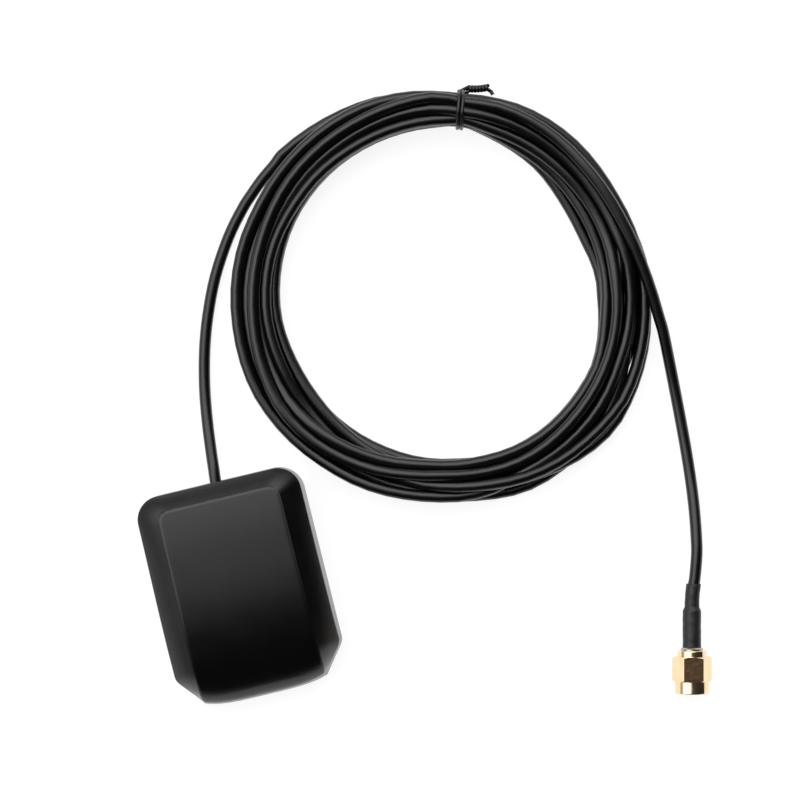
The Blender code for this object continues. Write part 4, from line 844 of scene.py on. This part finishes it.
def countersunk_screw():
    """One screw at the origin, its head down: countersunk head, formed thread and cross recess."""
    head_end = SCREW_FACE + SCREW_HEAD_RADIUS - SCREW_ROOT_RADIUS
    tip = SCREW_FACE + SCREW_LENGTH
    rows = [(0, SCREW_FACE), (SCREW_HEAD_RADIUS - SCREW_EDGE, SCREW_FACE),
            (SCREW_HEAD_RADIUS, SCREW_FACE + SCREW_EDGE), (SCREW_ROOT_RADIUS, head_end)]
    steps = round((tip - head_end) / SCREW_PITCH * SCREW_STEPS)
    for k in range(1, steps):
        z = head_end + (tip - head_end) * k / steps
        rows.append((SCREW_ROOT_RADIUS * min(1, (tip - z) / SCREW_POINT), z))
    rows.append((0, tip))
    build = bmesh.new()
    rings = []
    for radius, z in rows:
        ring = []
        for i in range(SCREW_SEGMENTS if radius else 1):
            turn = 2 * pi * i / SCREW_SEGMENTS
            ridge = abs((z / SCREW_PITCH - turn / (2 * pi)) % 1 - 0.5) * 2
            fade = min(1, max(0, (z - head_end) / SCREW_PITCH)) * min(1, (tip - z) / SCREW_POINT)
            out = radius + (SCREW_SHANK_RADIUS - SCREW_ROOT_RADIUS) * max(0, 1 - SCREW_FLANK * ridge) * fade
            ring.append(build.verts.new((out * cos(turn), out * sin(turn), z)))
        rings.append(ring)
    bmesh.ops.recalc_face_normals(build, faces=skinned(build, rings))
    screw = piece_from("screw_blank", build)
    # The recess is two crossed slots, each a squashed pyramid that narrows inward
    for quarter in (0, pi / 2):
        slot = (Matrix.Translation((0, 0, SCREW_FACE)) @ Matrix.Rotation(quarter, 4, "Z")
                @ Matrix.Diagonal((1, RECESS_SLOT, 1, 1)) @ Matrix.Rotation(pi / 4, 4, "Z"))
        cut(screw, piece_from("recess_slot", cylinders(
            [slot], 1.2 * sqrt(2) * RECESS_RADIUS, 2 * RECESS_DEPTH, 4, tip=0.6 * sqrt(2) * RECESS_RADIUS)))
    return screw


def repeated(name, places, original, seed):
    """The original set at each place and turned at random by Geometry Nodes, as one plain mesh."""
    points = bpy.data.meshes.new(name)
    points.from_pydata(places, [], [])
    holder = bpy.data.objects.new(name, points)
    scene.collection.objects.link(holder)
    tree = bpy.data.node_groups.new(f"{name}_layout", "GeometryNodeTree")
    for label, way, kind in (("Places", "INPUT", "Geometry"), ("Original", "INPUT", "Object"),
                             ("Pieces", "OUTPUT", "Geometry")):
        tree.interface.new_socket(label, in_out=way, socket_type=f"NodeSocket{kind}")
    given = add_node(tree, "NodeGroupInput")
    single = add_node(tree, "GeometryNodeObjectInfo", {"Object": given.outputs["Original"]})
    spin = add_node(tree, "FunctionNodeRandomValue", {"Min": (0, 0, 0), "Max": (0, 0, 2 * pi), "Seed": seed},
                    data_type="FLOAT_VECTOR")
    placed = add_node(tree, "GeometryNodeInstanceOnPoints", {
        "Points": given.outputs["Places"], "Instance": single.outputs["Geometry"], "Rotation": spin})
    whole = add_node(tree, "GeometryNodeRealizeInstances", {"Geometry": placed})
    add_node(tree, "NodeGroupOutput", {"Pieces": whole})
    layout = holder.modifiers.new("layout", "NODES")
    layout.node_group = tree
    sockets = {item.name: item.identifier for item in tree.interface.items_tree}
    layout[sockets["Original"]] = original
    settled = bpy.data.meshes.new_from_object(holder.evaluated_get(bpy.context.evaluated_depsgraph_get()))
    holder.modifiers.remove(layout)
    holder.data = settled
    bpy.data.objects.remove(original)
    return holder


# Zinc plate: bluish grey, dulled in blotches by passivation
zinc_plate = grained("zinc_plated_steel", "#85888d", "#b4b7bb", (0.28, 0.45), 0.0002, 0.00001, metallic=1.0,
                     blotch=0.0012)
screws = repeated("base_screws", [(x, y, 0) for x, y in screw_places()], countersunk_screw(), seed=4)
smoothed(screws.data, 35)
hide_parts("screw_1", "screw_2", "screw_3", "screw_4")
outfit(screws, zinc_plate)


# Electronics: a four-corner shield can, an amplifier and a filter under a green laminate board
# Above the board a foam tape holds a ceramic patch with a silver electrode and its soldered feed pin
def laminate():
    """Glass laminate under green solder mask: a woven ground, and copper runs that show paler through it."""
    material, tree, place = new_material("fr4_green_mask")
    warp, weft = [add_node(tree, "TexWave", {"Vector": place, "Scale": 700, "Distortion": 0.4},
                           bands_direction=way).outputs["Fac"] for way in "XY"]
    cloth = add_node(tree, "Math", {0: warp, 1: weft}, operation="MULTIPLY")
    runs = add_node(tree, "TexVoronoi", {"Vector": place, "Scale": 260}, distance="MANHATTAN",
                    feature="DISTANCE_TO_EDGE")
    copper = add_node(tree, "MapRange", {"Value": runs, "From Min": 0.10, "From Max": 0.14})
    tone = linear("#123d22")
    for share, colour in ((cloth, "#1a4d2c"), (copper, "#2b6b3c")):
        tone = add_node(tree, "Mix", {"Factor": share, "A": tone, "B": linear(colour)}, data_type="RGBA")
    return finished(material, tone, 0.38, (copper, 0.5, 0.00003))


def fired_patch(electrode_height):
    """Buff dielectric ceramic with a printed silver layer above a height, matt and finely gritty."""
    material, tree, place = new_material("patch_fired_ceramic")
    height = add_node(tree, "SeparateXYZ", {0: place}).outputs["Z"]
    silver = add_node(tree, "Math", {0: height, 1: electrode_height}, operation="GREATER_THAN")
    grit = add_node(tree, "TexNoise", {"Vector": place, "Scale": 2500, "Detail": 3})
    body, electrode = [
        add_node(tree, "Mix", {"Factor": grit, "A": linear(low), "B": linear(high)}, data_type="RGBA")
        for low, high in (("#b8ab90", "#d6ccb6"), ("#c4c3be", "#e0dfda"))]
    tone = add_node(tree, "Mix", {"Factor": silver, "A": body, "B": electrode}, data_type="RGBA")
    return finished(material, tone, 0.48, (grit, 0.3, 0.00002), Metallic=silver)


# The can and the ring on the lead are tin-plated sheet; the electrode is the top of the patch
ELECTRODE_DEPTH = 0.00008
tinned = grained("tin_plated_sheet", "#a4a6a8", "#c9cbcd", (0.26, 0.42), 0.0003, 0.00001, metallic=1.0)
carried(tinned, "shield_can", "clamp_ring")
carried(grained("moulded_epoxy", "#121213", "#1e1e1f", (0.5, 0.65), 0.0001, 0.00001, blotch=0.001),
        "amplifier_chip")
carried(grained("filter_ceramic_lid", "#b89f63", "#d8c593", (0.4, 0.55), 0.0001, 0.000005, blotch=0.001),
        "saw_filter")
carried(laminate(), "circuit_board")
carried(grained("acrylic_foam_tape", "#d8d4c8", "#f0ece0", (0.8, 0.95), 0.00025, 0.00006), "patch_tape")
carried(fired_patch(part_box("patch_ceramic")[1].z - ELECTRODE_DEPTH), "patch_ceramic")
carried(grained("solder_bright", "#b2b4b6", "#d6d8da", (0.15, 0.3), 0.0004, 0.00002, metallic=1.0, blotch=0.001),
        "feed_pin")


# Cable exit: a soft rubber grommet in the housing's wall, with the stripped end of the lead behind it
# Each layer of the lead starts at a radius and has a colour and a metallic share; the conductor is innermost
CONDUCTOR = ("#c9c7c2", 1.0)
LEAD_LAYERS = ((0.00026, "#ece9e1", 0.0), (0.00078, "#b4b6b8", 1.0), (0.00120, "#121214", 0.0))
BRAID_CARRIERS = 12.0           # bundles of braid wire that wind each way round the lead
BRAID_LAY = 5200.0              # how fast they wind along it, in radians to the metre


def layered_lead(name, axis_frame):
    """Stripped coaxial cable by its radius from an axis: tinned conductor, clear dielectric, braid, jacket."""
    material, tree, place = new_material(name)
    axes = add_node(tree, "SeparateXYZ", {0: along_axis(tree, place, axis_frame)}).outputs
    flat = add_node(tree, "CombineXYZ", {0: axes["X"], 1: axes["Y"]})
    radius = add_node(tree, "VectorMath", {0: flat}, operation="LENGTH")
    around_axis = add_node(tree, "Math", {0: axes["Y"], 1: axes["X"]}, operation="ARCTAN2")
    strands = []
    for lay in (BRAID_LAY, -BRAID_LAY):
        lead_in = add_node(tree, "Math", {0: axes["Z"], 1: lay}, operation="MULTIPLY")
        phase = add_node(tree, "Math", {0: around_axis, 1: BRAID_CARRIERS, 2: lead_in}, operation="MULTIPLY_ADD")
        strands.append(add_node(tree, "Math", {0: phase}, operation="SINE"))
    plait = add_node(tree, "Math", {0: strands[0], 1: strands[1]}, operation="MULTIPLY")
    tone, shine = linear(CONDUCTOR[0]), CONDUCTOR[1]
    for inside, colour, metal in LEAD_LAYERS:
        beyond = add_node(tree, "Math", {0: radius, 1: inside}, operation="GREATER_THAN")
        tone = add_node(tree, "Mix", {"Factor": beyond, "A": tone, "B": linear(colour)}, data_type="RGBA")
        shine = add_node(tree, "Mix", {"Factor": beyond, "A": shine, "B": metal})
    return finished(material, tone, 0.38, (plait, 0.4, 0.00003), Metallic=shine)


exit_frame = Matrix.Translation(lead_exit) @ Matrix.Rotation(-pi / 2, 4, "X")
carried(layered_lead("stripped_inner_lead", exit_frame), "inner_lead")


def smooth_copy(node, name, smooth_angle):
    """Copy of a CAD node with its points merged, shaded smooth, that stands for it."""
    build = bmesh.new()
    build.from_mesh(frame["nodes"][node].data)
    bmesh.ops.remove_doubles(build, verts=build.verts, dist=1e-6)
    piece = piece_from(name, build, smooth_angle)
    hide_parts(node)
    return piece


# EPDM rubber: dull, with a dry bloom
rubber = grained("epdm_rubber", "#0f0f10", "#1f1f20", (0.6, 0.8), 0.0004, 0.00003)
outfit(smooth_copy("cable_grommet", "rubber_grommet", 40), rubber)


# Plug: every piece is turned on one axis, from the coupling nut's open end back to the heat-shrink sleeve
# A nickel-plated body is crimped on the lead, and a spring ring in its neck holds the free-turning nut
open_end = plug_point + plug_axis * along_plug("coupling_nut")[1]
plug_side = Vector((0, 0, 1)).cross(plug_axis)
plug_frame = Matrix.Translation(open_end) @ Matrix((plug_side, Vector((0, 0, 1)), plug_axis)).transposed().to_4x4()


def turned(name, profile, segments, smooth_angle, uneven=None, bend=None):
    """Piece turned on the plug's axis, from (radius, distance behind the open end) points round its section."""
    build = bmesh.new()
    rings = []
    for radius, back in profile:
        ring = []
        for i in range(segments):
            turn = 2 * pi * i / segments
            out = radius + (uneven(turn, back, radius) if uneven else 0)
            place = plug_frame @ Vector((out * cos(turn), out * sin(turn), -back))
            ring.append(build.verts.new(place + bend(back) if bend else place))
        rings.append(ring)
    bmesh.ops.recalc_face_normals(build, faces=skinned(build, rings + rings[:1]))
    return piece_from(name, build, smooth_angle)


def plated(name, low, high, roughness, ring_pitch, relief):
    """Plated brass as turned: rings from the tool round the axis, a faint drift of tone, and fine scratches."""
    material, tree, place = new_material(name)
    rings = add_node(tree, "TexWave", {
        "Vector": along_axis(tree, place, plug_frame), "Scale": 0.314 / ring_pitch, "Distortion": 1.5,
        "Detail": 2}, bands_direction="Z").outputs["Fac"]
    rubbed, drift = [add_node(tree, "TexNoise", {"Vector": place, "Scale": scale, "Detail": detail})
                     for scale, detail in ((700, 4), (220, 3))]
    height = add_node(tree, "Math", {0: rings, 1: rubbed}, operation="ADD")
    return finished(material, (drift, low, high), (rubbed, (0.35, 0.7), roughness), (height, 0.25, relief),
                    Metallic=1.0)


gold = plated("gold_flash", "#f3d3a0", "#fce8c2", (0.08, 0.17), 0.00012, 0.000002)
nickel = plated("nickel_plate_satin", "#9c968a", "#bcb6aa", (0.2, 0.32), 0.0001, 0.000004)
bronze = plated("phosphor_bronze", "#a87a3e", "#c79a5c", (0.25, 0.4), 0.0001, 0.000004)
ptfe = grained("ptfe_turned", "#e6e5df", "#f6f5f0", (0.42, 0.55), 0.0002, 0.00001)
seal = grained("silicone_face_seal", "#1d1e20", "#2c2d30", (0.5, 0.65), 0.0003, 0.00001)
carried(layered_lead("stripped_plug_end", plug_frame), "stripped_end")

# The body's section from its mouth round to its bore: radius and distance behind the open end, in millimetres
PLUG_BODY_PROFILE = (
    (2.10, 3.10), (2.35, 3.10), (2.35, 4.90), (2.85, 4.90), (2.85, 5.65), (2.45, 5.65), (2.45, 7.55),
    (2.05, 7.55), (2.05, 8.35), (2.45, 8.35), (2.45, 10.15), (2.60, 10.15), (2.60, 10.30), (2.25, 10.65),
    (1.10, 10.65), (1.10, 15.45), (0.85, 15.45), (0.85, 9.65), (2.10, 9.65),
)
PLUG_SEGMENTS = 96
plug_body = turned("plug_body", [(out / 1000, back / 1000) for out, back in PLUG_BODY_PROFILE], PLUG_SEGMENTS, 30)
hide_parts("connector_body")
plug_pieces = [outfit(plug_body, nickel)] + [
    outfit(smooth_copy(node, name, angle), material) for node, name, angle, material, slot in (
        ("crimp_ferrule", "crimped_ferrule", 30, nickel, "nickel_plate"),
        ("snap_ring", "spring_ring", 30, bronze, "ring_bronze"),
        ("connector_insulator", "ptfe_insulator", 30, ptfe, "insulator_ptfe"),
        ("centre_pin", "gold_centre_pin", 30, gold, "gold_plate"),
        ("face_gasket", "face_seal", 40, seal, "seal_silicone"))]


# Coupling nut: gold-plated brass, a turned blank milled to a hexagon between two round collars
# Its bore has the plug's quarter-inch thread, 36 turns to the inch
NUT_ACROSS_FLATS = 0.00794
NUT_CORNER_RADIUS = NUT_ACROSS_FLATS / sqrt(3)
NUT_TURN = radians(-30.5)        # a flat side up, as the photograph shows it
NUT_EDGE_ROUND = 0.00008
FRONT_COLLAR_RADIUS = 0.0039
REAR_COLLAR_RADIUS = 0.00335
HEX_START = 0.0028
HEX_END = 0.0086
NUT_LENGTH = 0.0100
HEX_CHAMFER = 0.00035
COLLAR_ROUND = 0.00022
NUT_BORE_RADIUS = 0.00255
NUT_SHOULDER = 0.0059
THREAD_ROOT_RADIUS = 0.00317
THREAD_CREST_RADIUS = 0.00283
THREAD_PITCH = 0.0007056
THREAD_END = 0.0050
THREAD_STEPS = 60
THREAD_FOOT = 0.42              # half the ridge's width at its foot and at its crest, as shares of the pitch
THREAD_CREST = 0.15 * THREAD_FOOT
THREAD_SINK = 0.00004           # how far its foot lies in the wall
NUT_SEGMENTS = 120


def rounded_corner(centre_radius, centre_back, start, stop):
    """Points of a collar's rounded corner about a centre, between two angles from the outward direction."""
    points = []
    for k in range(ROUND_STEPS + 1):
        turn = start + (stop - start) * k / ROUND_STEPS
        points.append((centre_radius + COLLAR_ROUND * cos(turn), centre_back + COLLAR_ROUND * sin(turn)))
    return points


def thread_ridge(nut):
    """Add the internal thread to the nut: one ridge that winds up the bore and fades out at both ends."""
    build = bmesh.new()
    build.from_mesh(nut.data)
    turns = (THREAD_END - THREAD_PITCH / 2) / THREAD_PITCH
    steps = round(turns * THREAD_STEPS)
    sections = []
    for i in range(steps + 1):
        wound = turns * i / steps
        fade = min(1, 2 * wound, 2 * (turns - wound))
        back = THREAD_PITCH / 2 + wound * THREAD_PITCH
        crest = THREAD_ROOT_RADIUS - (THREAD_ROOT_RADIUS - THREAD_CREST_RADIUS) * fade
        foot, land = [THREAD_PITCH * half * max(fade, 0.05) for half in (THREAD_FOOT, THREAD_CREST)]
        sunk = THREAD_ROOT_RADIUS + THREAD_SINK
        turn = 2 * pi * wound
        sections.append([build.verts.new(plug_frame @ Vector((r * cos(turn), r * sin(turn), -b))) for r, b in (
            (sunk, back - foot), (crest, back - land), (crest, back + land), (sunk, back + foot))])
    ends = [build.faces.new(sections[0]), build.faces.new(sections[-1][::-1])]
    bmesh.ops.recalc_face_normals(build, faces=ends + skinned(build, sections))
    build.to_mesh(nut.data)
    build.free()


def coupling_nut():
    """The nut: turned outside and bored, brought to a hexagon, then threaded."""
    corner = NUT_CORNER_RADIUS
    flat = NUT_ACROSS_FLATS / 2
    front = FRONT_COLLAR_RADIUS - COLLAR_ROUND
    rear = REAR_COLLAR_RADIUS - COLLAR_ROUND
    profile = [(THREAD_ROOT_RADIUS + 0.0003, 0)]
    profile += rounded_corner(front, COLLAR_ROUND, -pi / 2, 0)
    profile += [(FRONT_COLLAR_RADIUS, HEX_START), (flat, HEX_START), (corner, HEX_START + HEX_CHAMFER),
                (corner, HEX_END - HEX_CHAMFER), (flat, HEX_END), (REAR_COLLAR_RADIUS, HEX_END)]
    profile += rounded_corner(rear, NUT_LENGTH - COLLAR_ROUND, 0, pi / 2)
    profile += [(NUT_BORE_RADIUS + 0.0001, NUT_LENGTH), (NUT_BORE_RADIUS, NUT_LENGTH - 0.0001),
                (NUT_BORE_RADIUS, NUT_SHOULDER), (THREAD_ROOT_RADIUS, NUT_SHOULDER),
                (THREAD_ROOT_RADIUS, 0.0003)]
    nut = turned("gold_coupling_nut", profile, NUT_SEGMENTS, 30)
    build = cylinders([Matrix()], corner, 2 * NUT_LENGTH, 6)
    long_edges = [edge for edge in build.edges if abs(edge.verts[0].co.z - edge.verts[1].co.z) > NUT_LENGTH]
    bmesh.ops.bevel(build, geom=long_edges, offset=NUT_EDGE_ROUND, segments=ROUND_STEPS, profile=0.5,
                    affect="EDGES")
    build.transform(plug_frame @ Matrix.Translation((0, 0, -NUT_LENGTH / 2)) @ Matrix.Rotation(NUT_TURN, 4, "Z"))
    cut(nut, piece_from("hexagon", build), "INTERSECT")
    thread_ridge(nut)
    smoothed(nut.data, 10)
    return nut


nut = coupling_nut()
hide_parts("coupling_nut")
outfit(nut, gold, body="coupling_nut")


# Heat-shrink: a polyolefin sleeve shrunk over the ferrule and on down to the lead
# It takes the ferrule's step softly and has the slight waves of uneven heating
SHRINK_BORE_RADIUS = 0.0018
SHRINK_RADIUS = 0.00212
SHRINK_TAIL_BORE = 0.00136
SHRINK_TAIL_RADIUS = 0.00169
SHRINK_STEP = 0.0196            # behind the open end, where it drops from the ferrule to the lead
SHRINK_STEP_HALF = 0.0006
SHRINK_LAP = 0.0004             # how much further forward it reaches than the solid, up to the body's flange
SHRINK_LIP = 0.0001             # how much its two cut edges are rounded in
SHRINK_WAVE = 0.000013
SHRINK_ROWS = 120
SHRINK_SEGMENTS = 64


def shrunk_sleeve():
    """Sleeve whose wall follows what lies inside, with soft waves round and along it."""
    front, rear = sleeve_reach[0] - SHRINK_LAP, sleeve_reach[1]

    def radius_at(back, wide, narrow):
        share = min(max((back - SHRINK_STEP + SHRINK_STEP_HALF) / (2 * SHRINK_STEP_HALF), 0), 1)
        return wide + (narrow - wide) * share * share * (3 - 2 * share)

    backs = [front + (rear - front) * k / SHRINK_ROWS for k in range(SHRINK_ROWS + 1)]
    outer = [(radius_at(back, SHRINK_RADIUS, SHRINK_TAIL_RADIUS), back) for back in backs]
    for end in (0, -1):
        outer[end] = (outer[end][0] - SHRINK_LIP, outer[end][1])
    bore = [(radius_at(back - 0.0003, SHRINK_BORE_RADIUS, SHRINK_TAIL_BORE), back) for back in backs[::-4]]

    def waves(turn, back, radius):
        if (radius < SHRINK_TAIL_RADIUS - 2 * SHRINK_LIP
                or SHRINK_BORE_RADIUS >= radius > SHRINK_TAIL_RADIUS + SHRINK_LIP):
            return 0
        swell = sin(back * 1900 + 1.3 * sin(turn)) + 0.7 * sin(back * 3100 + cos(turn)) + sin(3 * turn + back * 700)
        return SHRINK_WAVE * swell

    return turned("shrunk_sleeve", outer + bore, SHRINK_SEGMENTS, 50, waves, lambda back: tail_shift(rear - back))


# The sleeve's two ends come from the CAD node that it replaces, as distances behind the open end
nut_front = along_plug("coupling_nut")[1]
sleeve_reach = [nut_front - reach for reach in along_plug("heat_shrink")][::-1]
sleeve = shrunk_sleeve()
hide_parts("heat_shrink")
# Shrunk polyolefin: grey-black and satin, finely wrinkled along its length where it tightened
polyolefin = soft_plastic("polyolefin_shrunk", ("#0b0c0e", "#17181a"), gloss=(0.42, 0.58), haze=(420, 3),
                          grain=(2600, 3), strength=0.35, relief=0.00004, drawn=plug_frame)
outfit(sleeve, polyolefin)
